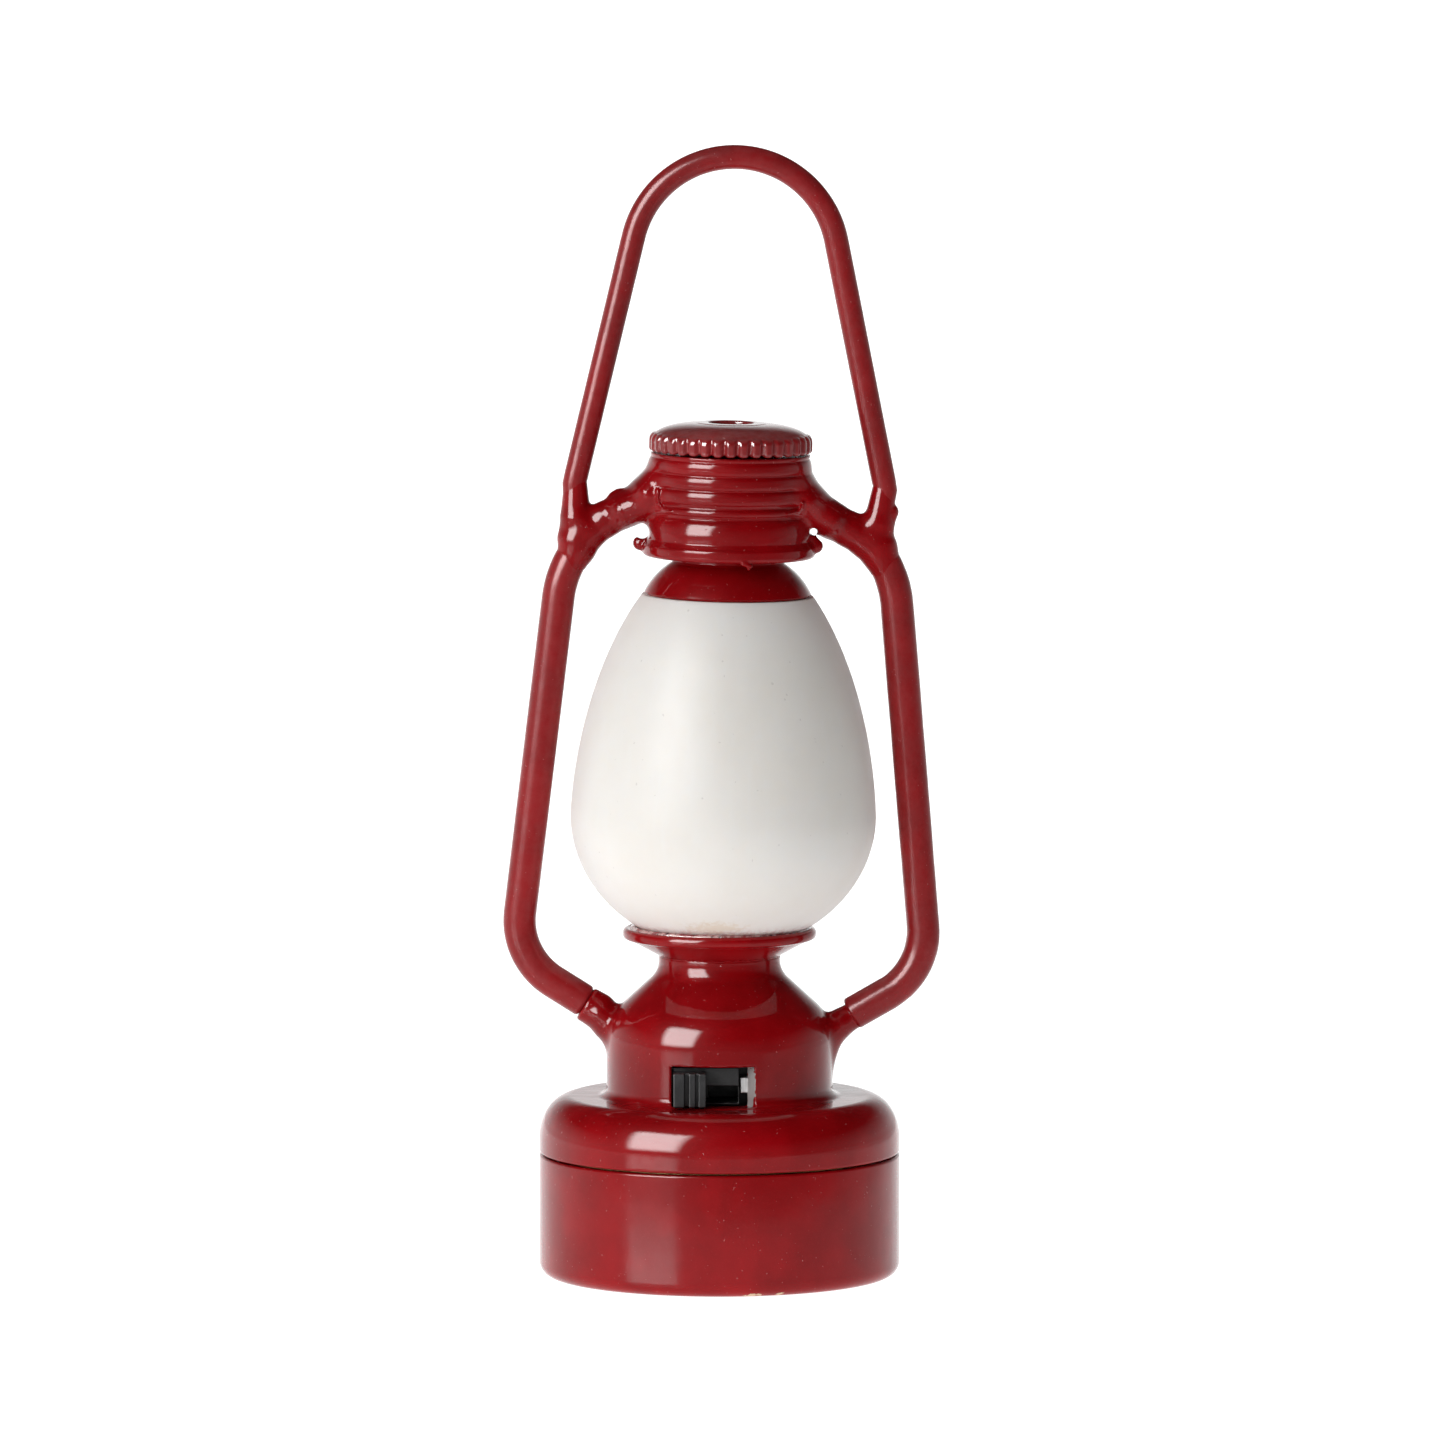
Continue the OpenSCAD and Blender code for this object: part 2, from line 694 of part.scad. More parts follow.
// Outside of the collar from its foot to its top
function collar_outline() = concat(
    arc([flange_r - 0.3, collar_z0 + 0.3], 0.3, 0.3, -90, 0, 4),
    arc([flange_r - 0.25, collar_z0 + flange_h - 0.25], 0.25, 0.25, 0, 80, 4),
    arc([bell_r - 0.6, 46.55], 0.6, 0.95, -75, 75, 8),
    [[groove_r, groove_z - 0.1], [groove_r, groove_z + 0.1]],
    [
        for (i = [0:2])
            let (centre = [collar_r - band_bulge, band_z + i * band_pitch])
                for (p = arc(centre, band_bulge, band_h / 2, -90, 90, 6)) p
    ],
    [[collar_rim_r, collar_z1 - collar_rim_h], [collar_rim_r, collar_z1]]
);

module arms() {
    for (s = sides) scale([s, 1, 1]) {
        bar(knuckle, arm_mid, arm_r + 0.1, arm_r);
        bar(arm_mid, arm_root, arm_r, arm_root_r);
        translate([arm_mid[0], 0, arm_mid[1]]) sphere(r = arm_r);
        translate([knuckle[0], 0, knuckle[1]]) sphere(r = knuckle_r);
        bar(knuckle, bail_foot - 0.9 * bail_leg_dir, knuckle_r - 0.05, bail_wire_r + 0.1);
        bar(strut_top, gooseneck_start, strut_r, strut_r);
        bend(gooseneck_centre, gooseneck_r, strut_r, high_end_angle, gooseneck_end);
        translate([lug_x, 0, collar_z0 + 0.75]) sphere(r = lug_r);
    }
}

module collar() {
    color(red) leaning() difference() {
        union() {
            rotate_extrude() polygon(concat(collar_outline(), [[0, collar_z1], [0, collar_z0]]));
            arms();
        }
        translate([0, 0, collar_z0 - cut])
            cylinder(r = collar_bore_r, h = collar_z1 - collar_top_t - collar_z0 + cut);
        translate([0, 0, collar_z0]) cylinder(r = eyelet_r + slip, h = 9);
        for (s = sides) scale([s, 1, 1])
            bar(bail_foot, bail_foot - 3 * bail_leg_dir, bail_wire_r + slip, bail_wire_r + slip);
    }
}

module cap_eyelet() {
    top = cap_z0 + cap_h;
    low = collar_z1 - collar_top_t;
    color(red) leaning() {
        ring(eyelet_r, vent_r, low - 0.45, top + 0.12);
        ring(eyelet_flange_r, vent_r, top + 0.02, top + 0.16);
        ring(eyelet_flange_r, vent_r, low - 0.3, low - 0.04);
    }
}

module chimney_cap() {
    edge_h = 1;
    color(red) leaning() difference() {
        rotate_extrude() polygon(concat(
            [[3, cap_z0], [3, cap_z0 - 0.12], [eyelet_r + slip, cap_z0 - 0.12]],
            [[eyelet_r + slip, cap_z0 + cap_h]],
            [[2.4, cap_z0 + cap_h]],
            arc([2.4, cap_z0 + edge_h], cap_r - 2.75, cap_h - edge_h, 85, 20, 6),
            arc([cap_r - 0.35, cap_z0 + edge_h - 0.3], 0.35, 0.3, 60, 0, 3),
            [[cap_r, cap_z0 + 0.15], [cap_r - 0.15, cap_z0]]
        ));
        for (i = [0:flutes - 1]) rotate([0, 0, 360 * (i + 0.5) / flutes])
            translate([cap_r + 0.12, 0, cap_z0 - cut]) cylinder(r = 0.27, h = 3, $fn = 24);
    }
}

// Rod along points of the frame's plane
module rod(points, r) {
    tube([for (p = points) [p[0], 0, p[1]]], r, [0, 1, 0], 20);
}

// Strut with its low bend round a centre, that starts a joint's width above its ear
module strut(low, joint) {
    rod(concat(
        [ear_joint(low) + joint * ear_dir],
        arc(low, strut_low_r, strut_low_r, leg_angle, strut_tilt, 14),
        arc(strut_high_centre, strut_high_r, strut_high_r, strut_tilt, high_end_angle - 0.3, 6)
    ), strut_r);
}

module left_strut() {
    color(red) leaning() mirror([1, 0, 0]) strut(strut_low_left, solder_gap - lean_gap);
}

module right_strut() {
    color(red) leaning() strut(strut_low_right, solder_gap + lean_gap);
}

module bail_handle() {
    foot = bail_foot - 0.05 * bail_leg_dir;
    color(red) leaning() rod(concat(
        [foot],
        arc([0, bail_centre_z], bail_r, bail_r, bail_tilt, 180 - bail_tilt, 28),
        [[-foot[0], foot[1]]]
    ), bail_wire_r);
}

battery_cover();
contact_plate();
contact_spring();
cell_sleeve();
cell_can();
cell_gasket();
cell_cap();
base_body();
threaded_ring();
contact_board();
positive_contact();
board_screws();
resistor();
switch_housing();
switch_frame();
switch_terminals();
switch_lever();
switch_wiper();
feed_wire();
lamp_wire();
return_wire();
led_holder();
led_lens();
led_leads();
globe();
globe_seal();
globe_crown();
collar();
cap_eyelet();
chimney_cap();
left_strut();
right_strut();
bail_handle();
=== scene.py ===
import math

import bpy
import numpy as np
from mathutils import Matrix, Vector


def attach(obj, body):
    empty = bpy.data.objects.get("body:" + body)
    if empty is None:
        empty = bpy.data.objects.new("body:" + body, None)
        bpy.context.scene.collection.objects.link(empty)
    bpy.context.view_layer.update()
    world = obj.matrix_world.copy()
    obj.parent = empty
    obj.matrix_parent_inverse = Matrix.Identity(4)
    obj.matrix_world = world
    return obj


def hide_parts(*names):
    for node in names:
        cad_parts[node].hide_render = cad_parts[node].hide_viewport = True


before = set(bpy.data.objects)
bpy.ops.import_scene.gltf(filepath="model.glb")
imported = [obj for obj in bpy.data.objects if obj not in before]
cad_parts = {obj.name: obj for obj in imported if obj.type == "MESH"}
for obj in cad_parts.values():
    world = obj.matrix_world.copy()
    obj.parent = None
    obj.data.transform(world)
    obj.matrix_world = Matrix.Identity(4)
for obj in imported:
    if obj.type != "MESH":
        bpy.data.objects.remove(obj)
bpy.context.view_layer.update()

MM = 0.001
SIDES = (-1, 1)

# Driving sizes of the lantern in millimetres, the same as the CAD model's
BASE_R = 11.15
SEAM_Z = 7.6
SEAM_GAP = 0.1
SHOULDER_Z = 11.15
DRUM_R = 7.0
DRUM_WALL = 1.1
NECK_R = 3.76
NECK_Z = 19.58
CUP_R = 6.0
CUP_Z = 21.6
WINDOW_LOW = (-2.95, 11.2)
WINDOW_HIGH = (2.22, 13.7)
GLOBE_R = 9.44
GLOBE_MID_Z = 28.6
GLOBE_LOW_H = 8.4
GLOBE_HIGH_H = 17.0
GLOBE_TOP_Z = 42.2
GLOBE_WALL = 0.9
GLOBE_MOUTH_R = 2.95
EGG_TAPER = 0.083
COLLAR_Z0 = 44.6
COLLAR_Z1 = 51.0
CAP_R = 5.05
CAP_Z0 = 51.15
CAP_H = 1.7
VENT_R = 1.36
STRUT_R = 1.025
BAIL_R = 6.38
BAIL_WIRE_R = 0.75
TOTAL_H = 70.0
LEAN = math.radians(1.15)
LEAN_Z = 17.0

random = np.random.default_rng(7)


# ---- outlines

def arc(cx, cz, rx, rz, start, end, n):
    """Points of part of an ellipse, from one angle to another in degrees."""
    angles = np.radians(np.linspace(start, end, n + 1))
    return np.stack([cx + rx * np.cos(angles), cz + rz * np.sin(angles)], 1)


def join(*parts):
    """One outline from single points and rows of points."""
    return np.concatenate([np.atleast_2d(np.array(p, float)) for p in parts])


def egg_low(r, t):
    """Height of the globe's lower half at radius r, on a skin taken in by t."""
    return GLOBE_MID_Z - (GLOBE_LOW_H - t) * np.sqrt(np.clip(1 - (r / (GLOBE_R - t)) ** 2, 0, 1))


def egg(t):
    """Outline of the globe from its lower mouth to its top, on a skin taken in by t."""
    r = GLOBE_MOUTH_R + (GLOBE_R - t - GLOBE_MOUTH_R) * np.sin(np.linspace(0, math.pi / 2, 40))
    z = GLOBE_MID_Z + (GLOBE_TOP_Z - GLOBE_MID_Z) * np.linspace(0, 1, 60)[1:]
    u = (z - GLOBE_MID_Z) / (GLOBE_HIGH_H - t)
    high_r = (GLOBE_R - t) * np.sqrt(1 - u * u) * (1 - EGG_TAPER * u)
    return join(np.stack([r, egg_low(r, t)], 1), np.stack([high_r, z], 1))


# ---- meshes

def lean():
    """The turn that the hand-soldered frame has above the ears."""
    pivot = Matrix.Translation((0, 0, LEAN_Z * MM))
    return pivot @ Matrix.Rotation(LEAN, 4, "Y") @ pivot.inverted()


def piece(name, shape, material, body, nodes, leans=False):
    """A smooth-shaded piece, which rides on a body and stands for CAD nodes. shape is its points in
    millimetres, its faces and, if they are known, the normals at its points."""
    points, faces, *normals = shape
    mesh = bpy.data.meshes.new(name)
    mesh.from_pydata((np.asarray(points) * MM).tolist(), [], [list(map(int, f)) for f in faces])
    mesh.validate()
    obj = bpy.data.objects.new(name, mesh)
    bpy.context.scene.collection.objects.link(obj)
    mesh.shade_smooth()
    if normals:
        mesh.normals_split_custom_set_from_vertices(normals[0].tolist())
    if leans:
        mesh.transform(lean())
    mesh.materials.append(material)
    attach(obj, body)
    if nodes:
        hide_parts(*nodes)
    return obj


def sharpen(obj, degrees):
    """Keeps edges sharper than the angle as hard edges in the shading."""
    obj.data.set_sharp_from_angle(angle=math.radians(degrees))


def ring_faces(n, m):
    """Faces that join n sections of m points each into a closed ring."""
    i, j = np.meshgrid(np.arange(n), np.arange(m), indexing="ij")
    beside, above = (i + 1) % n, (j + 1) % m
    return np.stack([i * m + j, beside * m + j, beside * m + above, i * m + above], -1).reshape(-1, 4)


def lathe(outline, n, bump=None):
    """Points and faces of a closed outline turned round the vertical axis. bump(r, z, angle) moves them."""
    outline = np.asarray(outline)
    m = len(outline)
    angle = np.linspace(0, 2 * math.pi, n, endpoint=False)
    r = np.repeat(outline[None, :, 0], n, 0)
    z = np.repeat(outline[None, :, 1], n, 0)
    a = np.repeat(angle[:, None], m, 1)
    if bump:
        r, z = bump(r, z, a)
    return np.stack([r * np.cos(a), r * np.sin(a), z], -1).reshape(-1, 3), ring_faces(n, m)


def sweep(path, radii, n, wobble):
    """Tube round a path of [x, z] points in the frame's plane. wobble makes it as uneven as handwork."""
    path = np.asarray(path, float)
    radii = np.broadcast_to(np.asarray(radii, float), (len(path),)).copy()
    ahead = np.gradient(path, axis=0)
    ahead /= np.linalg.norm(ahead, axis=1)[:, None]
    across = np.stack([-ahead[:, 1], ahead[:, 0]], 1)
    angle = np.linspace(0, 2 * math.pi, n, endpoint=False)
    drift = np.cumsum(random.normal(0, 1, len(path)))
    drift -= np.linspace(drift[0], drift[-1], len(path))
    radii *= 1 + wobble * drift / max(np.abs(drift).max(), 1e-9)
    rings = []
    for p, c, r in zip(path, across, radii):
        out = r * np.cos(angle)
        rings.append(np.stack([p[0] + c[0] * out, r * np.sin(angle), p[1] + c[1] * out], 1))
    points = np.concatenate(rings)
    m = len(path)
    i, j = np.meshgrid(np.arange(m - 1), np.arange(n), indexing="ij")
    k = (j + 1) % n
    skin = np.stack([i * n + j, i * n + k, (i + 1) * n + k, (i + 1) * n + j], -1).reshape(-1, 4)
    faces = [list(f) for f in skin]
    faces.append(list(range(n))[::-1])
    faces.append([(m - 1) * n + q for q in range(n)])
    return points, faces


def rounded_ends(path, r, edge):
    """The path with extra places near both ends, and the radii that round its ends off."""
    n = 6
    path = np.asarray(path, float)
    length = np.r_[0, np.cumsum(np.linalg.norm(np.diff(path, axis=0), axis=1))]
    turn = np.linspace(0, math.pi / 2, n)
    near = edge * (1 - np.cos(turn))
    extra = np.r_[near, length[(length > edge) & (length < length[-1] - edge)], (length[-1] - near)[::-1]]
    radii = np.full(len(extra), float(r))
    radii[:n] = r - edge + edge * np.sin(turn)
    radii[-n:] = (r - edge + edge * np.sin(turn))[::-1]
    return np.stack([np.interp(extra, length, path[:, q]) for q in (0, 1)], 1), radii


# ---- blended solids

def smooth_min(a, b, k):
    """The smaller of two distances, blended over a width k."""
    h = np.clip(0.5 + 0.5 * (b - a) / k, 0, 1)
    return b + (a - b) * h - k * h * (1 - h)


def smooth_max(a, b, k):
    """The larger of two distances, blended over a width k."""
    return -smooth_min(-a, -b, k)


def outline_distance(outline):
    """A function that gives the distance to a turned outline, below zero inside, looked up in a table."""
    step, margin = 0.05, 2.0
    outline = np.asarray(outline, float)
    low = outline.min(0) - margin
    size = np.ceil((outline.max(0) + margin - low) / step).astype(int) + 1
    columns, rows = (low[q] + step * np.arange(size[q]) for q in (0, 1))
    gx, gz = np.meshgrid(columns, rows, indexing="ij")
    best = np.full(gx.shape, 1e9)
    inside = np.zeros(gx.shape, bool)
    for a, b in zip(outline, np.roll(outline, -1, 0)):
        d = b - a
        t = np.clip(((gx - a[0]) * d[0] + (gz - a[1]) * d[1]) / max(d @ d, 1e-12), 0, 1)
        best = np.minimum(best, (gx - a[0] - t * d[0]) ** 2 + (gz - a[1] - t * d[1]) ** 2)
        if a[1] != b[1]:
            hit = ((a[1] > gz) != (b[1] > gz)) & (gx < (b[0] - a[0]) * (gz - a[1]) / (b[1] - a[1]) + a[0])
            inside ^= hit
    table = np.where(inside, -1, 1) * np.sqrt(best)

    def distance(p):
        x = np.clip((np.hypot(p[:, 0], p[:, 1]) - low[0]) / step, 0, size[0] - 1.001)
        z = np.clip((p[:, 2] - low[1]) / step, 0, size[1] - 1.001)
        i, j = x.astype(int), z.astype(int)
        u, v = x - i, z - j
        return ((1 - u) * (1 - v) * table[i, j] + u * (1 - v) * table[i + 1, j]
                + (1 - u) * v * table[i, j + 1] + u * v * table[i + 1, j + 1])
    return distance


def cone(p, a, b, ra, rb, squeeze=1.0):
    """Distance to a round-ended cone from a to b, given as [x, z] in the frame's plane, or [x, y, z]."""
    a, b = (np.array([q[0], 0, q[1]] if len(q) == 2 else q, float) for q in (a, b))
    s = np.array([1, squeeze, 1])
    d = b - a
    t = np.clip((p - a) @ d / (d @ d), 0, 1)
    return np.linalg.norm((p - a - t[:, None] * d) * s, axis=1) - (ra + (rb - ra) * t)


def box_distance(p, low, high, edge):
    """Distance to a box with rounded edges."""
    low, high = np.array(low, float), np.array(high, float)
    q = np.abs(p - (low + high) / 2) - (high - low) / 2 + edge
    return np.linalg.norm(np.maximum(q, 0), axis=1) + np.minimum(q.max(1), 0) - edge


def gradient(field, p, e=0.01):
    """Slope of a distance field at each point, from places e to either side."""
    axes = np.eye(3) * e
    return np.stack([field(p + a) - field(p - a) for a in axes], 1) / (2 * e)


def skin(field, low, high, step):
    """Points, faces and normals of the surface where field is zero."""
    axes = [np.arange(a, b + step, step) for a, b in zip(low, high)]
    size = [len(a) for a in axes]
    value = np.empty(size)
    y, z = np.meshgrid(axes[1], axes[2], indexing="ij")
    for i, x in enumerate(axes[0]):
        layer = np.stack([np.full(y.size, x), y.ravel(), z.ravel()], 1)
        value[i] = field(layer).reshape(y.shape)
    inside = value < 0
    corners = [np.array((i, j, k)) for i in (0, 1) for j in (0, 1) for k in (0, 1)]
    count = sum(
        inside[c[0]:size[0] - 1 + c[0], c[1]:size[1] - 1 + c[1], c[2]:size[2] - 1 + c[2]].astype(np.int8)
        for c in corners
    )
    cells = np.argwhere((count > 0) & (count < 8))
    number = np.full(count.shape, -1)
    number[tuple(cells.T)] = np.arange(len(cells))
    total, hits = np.zeros((len(cells), 3)), np.zeros(len(cells))
    for c in corners:
        for axis in range(3):
            if c[axis]:
                continue
            d = c + np.eye(3, dtype=int)[axis]
            va, vb = value[tuple((cells + c).T)], value[tuple((cells + d).T)]
            crossed = (va < 0) != (vb < 0)
            t = np.where(crossed, va / np.where(crossed, va - vb, 1), 0)
            total += crossed[:, None] * (c + t[:, None] * (d - c))
            hits += crossed
    points = np.array(low) + (cells + total / hits[:, None]) * step
    faces = []
    for axis in range(3):
        u, v = np.eye(3, dtype=int)[(axis + 1) % 3], np.eye(3, dtype=int)[(axis + 2) % 3]
        first = [slice(0, -1) if q == axis else slice(None) for q in range(3)]
        last = [slice(1, None) if q == axis else slice(None) for q in range(3)]
        starts = np.argwhere(inside[tuple(first)] != inside[tuple(last)])
        keep = (starts @ u > 0) & (starts @ v > 0)
        keep &= (starts @ u < size[(axis + 1) % 3] - 1) & (starts @ v < size[(axis + 2) % 3] - 1)
        starts = starts[keep]
        quad = np.stack([number[tuple((starts - o).T)] for o in (0 * u, u, u + v, v)], 1)
        out = inside[tuple(starts.T)]
        faces.append(np.where(out[:, None], quad, quad[:, ::-1]))
    for _ in range(4):
        g = gradient(field, points)
        pull = field(points)[:, None] * g / np.maximum((g * g).sum(1), 0.2)[:, None]
        points = points - np.clip(pull, -step / 2, step / 2)
    g = gradient(field, points, 0.02)
    return points, np.concatenate(faces), g / np.linalg.norm(g, axis=1)[:, None]


# ---- materials

def set_span(node, limits):
    """Sets a Map Range node: its input's low and high, then its result's."""
    for key, number in zip(("From Min", "From Max", "To Min", "To Max"), limits):
        node.inputs[key].default_value = number


class Shader:
    """A material's node tree, with its places measured in millimetres on the object."""

    def __init__(self, name):
        self.material = bpy.data.materials.new(name)
        self.material.use_nodes = True
        self.tree = self.material.node_tree
        self.main = self.tree.nodes["Principled BSDF"]
        place = self.add("ShaderNodeTexCoord").outputs["Object"]
        scaled = self.add("ShaderNodeVectorMath", operation="SCALE")
        scaled.inputs["Scale"].default_value = 1 / MM
        self.link(place, scaled.inputs[0])
        self.place = scaled.outputs[0]

    def add(self, kind, **settings):
        node = self.tree.nodes.new(kind)
        for key, value in settings.items():
            setattr(node, key, value)
        return node

    def link(self, a, b):
        self.tree.links.new(a, b)

    def set(self, **values):
        """Sets constants on the Principled BSDF."""
        for key, value in values.items():
            self.main.inputs[key.replace("_", " ")].default_value = value

    def stretched(self, scale):
        """The place on the object, scaled along each axis."""
        node = self.add("ShaderNodeMapping")
        self.link(self.place, node.inputs["Vector"])
        node.inputs["Scale"].default_value = scale
        return node.outputs["Vector"]

    def noise(self, per_mm, detail, rough=0.5, place=None):
        """A noise from 0 to 1, with per_mm lumps to the millimetre."""
        node = self.add("ShaderNodeTexNoise")
        self.link(place or self.place, node.inputs["Vector"])
        node.inputs["Scale"].default_value = per_mm
        node.inputs["Detail"].default_value = detail
        node.inputs["Roughness"].default_value = rough
        return node.outputs["Fac"]

    def span(self, value, a, b, low=0.0, high=1.0):
        """value from a to b becomes low to high, with soft ends."""
        node = self.add("ShaderNodeMapRange", interpolation_type="SMOOTHSTEP")
        self.link(value, node.inputs["Value"])
        set_span(node, (a, b, low, high))
        return node.outputs["Result"]

    def near(self, centre, radius, soft, wobble, stretch):
        """1 near a place and 0 beyond radius + soft, with an edge that wanders by wobble."""
        away = self.add("ShaderNodeVectorMath", operation="SUBTRACT")
        self.link(self.place, away.inputs[0])
        away.inputs[1].default_value = centre
        scaled = self.add("ShaderNodeVectorMath", operation="MULTIPLY")
        self.link(away.outputs[0], scaled.inputs[0])
        scaled.inputs[1].default_value = stretch
        length = self.add("ShaderNodeVectorMath", operation="LENGTH")
        self.link(scaled.outputs[0], length.inputs[0])
        wander = self.span(self.noise(3.0, 3), 0.3, 0.7, -wobble, wobble)
        value = self.math("ADD", length.outputs["Value"], wander)
        return self.span(value, radius, radius + soft, 1.0, 0.0)

    def math(self, operation, a, b):
        """A Math node. a and b are sockets or numbers."""
        node = self.add("ShaderNodeMath", operation=operation)
        for socket, value in zip(node.inputs, (a, b)):
            if hasattr(value, "default_value"):
                self.link(value, socket)
            else:
                socket.default_value = value
        return node.outputs[0]

    def mix(self, factor, a, b):
        """Colour a, turning to b as factor goes to 1. A colour is a tuple or a socket."""
        node = self.add("ShaderNodeMix", data_type="RGBA")
        self.link(factor, node.inputs[0])
        for socket, value in zip((node.inputs[6], node.inputs[7]), (a, b)):
            if isinstance(value, tuple):
                socket.default_value = (*value, 1.0)
            else:
                self.link(value, socket)
        return node.outputs[2]

    def bump(self, heights):
        """Adds bumps: pairs of a height from 0 to 1 and its size in millimetres."""
        before = None
        for value, size in heights:
            node = self.add("ShaderNodeBump")
            node.inputs["Strength"].default_value = 1.0
            node.inputs["Distance"].default_value = size * MM
            self.link(value, node.inputs["Height"])
            if before:
                self.link(before, node.inputs["Normal"])
            before = node.outputs["Normal"]
        self.link(before, self.main.inputs["Normal"])
        if self.main.inputs["Coat Weight"].default_value > 0:
            self.link(before, self.main.inputs["Coat Normal"])

    def finish(self, colour, roughness=None):
        """Links the colour and roughness, and gives the finished material."""
        self.link(colour, self.main.inputs["Base Color"])
        if roughness is not None:
            self.link(roughness, self.main.inputs["Roughness"])
        return self.material


RED = (0.305, 0.002, 0.0045)
RED_DEEP = (0.24, 0.0012, 0.003)
RED_PALE = (0.37, 0.010, 0.014)
BARE_METAL = (0.42, 0.40, 0.39)
TAN = (0.62, 0.44, 0.28)
OPAL_DEEP = (0.885, 0.84, 0.785)
OPAL_PALE = (0.925, 0.885, 0.84)
STAIN = (0.74, 0.60, 0.44)
OVERSPRAY = (0.55, 0.12, 0.13)
# Pale colour of a dusty film that also stands for painted sheen on faces that look up or sideways.
DUST_AND_SHEEN = (0.62, 0.48, 0.47)


def enamel(name, gloss, peel, waves=0.018, marks=(), dust_and_sheen=None, coat_ior=1.28):
    """Red enamel. gloss is the coat's roughness, peel the depth of its orange peel, marks are places where
    it is chipped or worn through: (centre, radius, stretch, colour), and the paler film, dusty and with
    painted sheen, is given as its share on what faces sideways and on what faces up."""
    s = Shader(name)
    s.set(Coat_Weight=1.0, Coat_Roughness=gloss, Coat_IOR=coat_ior, Specular_IOR_Level=0.02)
    clouds = s.noise(0.35, 3)
    colour = s.mix(s.span(clouds, 0.35, 0.7), RED_DEEP, RED)
    pigment = s.noise(9.0, 4, 0.65)
    colour = s.mix(s.span(pigment, 0.5, 0.85, 0.0, 0.5), colour, RED_PALE)
    nibs = s.span(s.noise(5.0, 1), 0.735, 0.78)
    colour = s.mix(s.math("MULTIPLY", nibs, 0.5), colour, (0.5, 0.10, 0.10))
    # Paler where the surface faces up, and a little where it faces sideways: partly a dusty film, partly
    # painted sheen.
    if dust_and_sheen:
        parts = s.add("ShaderNodeSeparateXYZ")
        s.link(s.add("ShaderNodeNewGeometry").outputs["Normal"], parts.inputs[0])
        settled_and_sheen = s.span(parts.outputs["Z"], 0.35, 0.98, *dust_and_sheen)
        settled_and_sheen = s.math("MULTIPLY", settled_and_sheen, s.span(s.noise(1.6, 4, 0.65), 0.3, 0.65, 0.55, 1.0))
        colour = s.mix(settled_and_sheen, colour, DUST_AND_SHEEN)
    rough = s.span(pigment, 0.3, 0.8, 0.32, 0.46)
    heights = [(s.noise(0.45, 1), waves), (s.noise(2.4, 2), peel), (nibs, 0.012)]
    for centre, radius, stretch, bare in marks:
        worn = s.near(centre, radius, 0.05, 0.12, stretch)
        colour = s.mix(worn, colour, bare)
        rough = s.math("MAXIMUM", rough, s.math("MULTIPLY", worn, 0.6))
        heights.append((s.math("SUBTRACT", 1.0, worn), 0.03))
    s.bump(heights)
    return s.finish(colour, rough)


def opal_glass():
    """Frosted glass with faint streaks and specks, a stain in front, and red overspray near the cup."""
    s = Shader("opal_glass")
    s.set(Subsurface_Weight=0.6, Subsurface_Scale=0.0012, Coat_Weight=0.06, Coat_Roughness=0.4)
    s.set(Specular_IOR_Level=0.1)
    s.main.inputs["Subsurface Radius"].default_value = (1.0, 0.9, 0.8)
    parts = s.add("ShaderNodeSeparateXYZ")
    s.link(s.place, parts.inputs[0])
    height = parts.outputs["Z"]
    clouds = s.noise(0.12, 3)
    colour = s.mix(s.span(clouds, 0.35, 0.7), OPAL_DEEP, OPAL_PALE)
    streaks = s.noise(1.0, 4, 0.6, s.stretched((1.6, 1.6, 0.08)))
    colour = s.mix(s.span(streaks, 0.5, 0.8, 0.0, 0.22), colour, (0.93, 0.915, 0.90))
    stain = s.near((-0.2, -6.0, 22.2), 0.3, 0.8, 0.3, (0.5, 0.5, 1.7))
    colour = s.mix(s.math("MULTIPLY", stain, 0.5), colour, STAIN)
    overspray = s.span(height, CUP_Z - 0.2, CUP_Z + 0.7, 1.0, 0.0)
    overspray = s.math("MULTIPLY", overspray, s.span(s.noise(2.5, 4, 0.7), 0.4, 0.62))
    colour = s.mix(s.math("MULTIPLY", overspray, 0.6), colour, OVERSPRAY)
    specks = s.span(s.noise(2.6, 1), 0.76, 0.8)
    colour = s.mix(s.math("MULTIPLY", specks, 0.35), colour, (0.55, 0.50, 0.47))
    s.bump([(s.noise(0.25, 2), 0.06), (streaks, 0.006), (s.noise(14.0, 2), 0.0025)])
    return s.finish(colour, s.span(s.noise(0.8, 3), 0.3, 0.7, 0.36, 0.5))


def metal(name, light, dark, rough, turned=False):
    """Bare metal with tool marks: rings where it is turned, and upright lines elsewhere."""
    s = Shader(name)
    s.set(Metallic=1.0)
    grain = (0.15, 0.15, 8.0) if turned else (6.0, 6.0, 0.4)
    lines = s.noise(2.0, 4, 0.7, s.stretched(grain))
    colour = s.mix(s.span(lines, 0.3, 0.7), dark, light)
    tarnish = s.span(s.noise(0.5, 4), 0.5, 0.75, 0.0, 0.5)
    colour = s.mix(tarnish, colour, tuple(0.6 * c for c in dark))
    s.bump([(lines, 0.004)])
    return s.finish(colour, s.span(lines, 0.3, 0.7, rough, rough + 0.18))


def plastic(name, light, dark, rough):
    """Moulded plastic with a fine grain."""
    s = Shader(name)
    s.set(Specular_IOR_Level=0.45)
    texture = s.noise(7.0, 4, 0.6)
    colour = s.mix(s.span(texture, 0.3, 0.7), dark, light)
    s.bump([(s.noise(0.8, 2), 0.02), (texture, 0.006)])
    return s.finish(colour, s.span(s.noise(1.5, 3), 0.3, 0.7, rough, rough + 0.15))


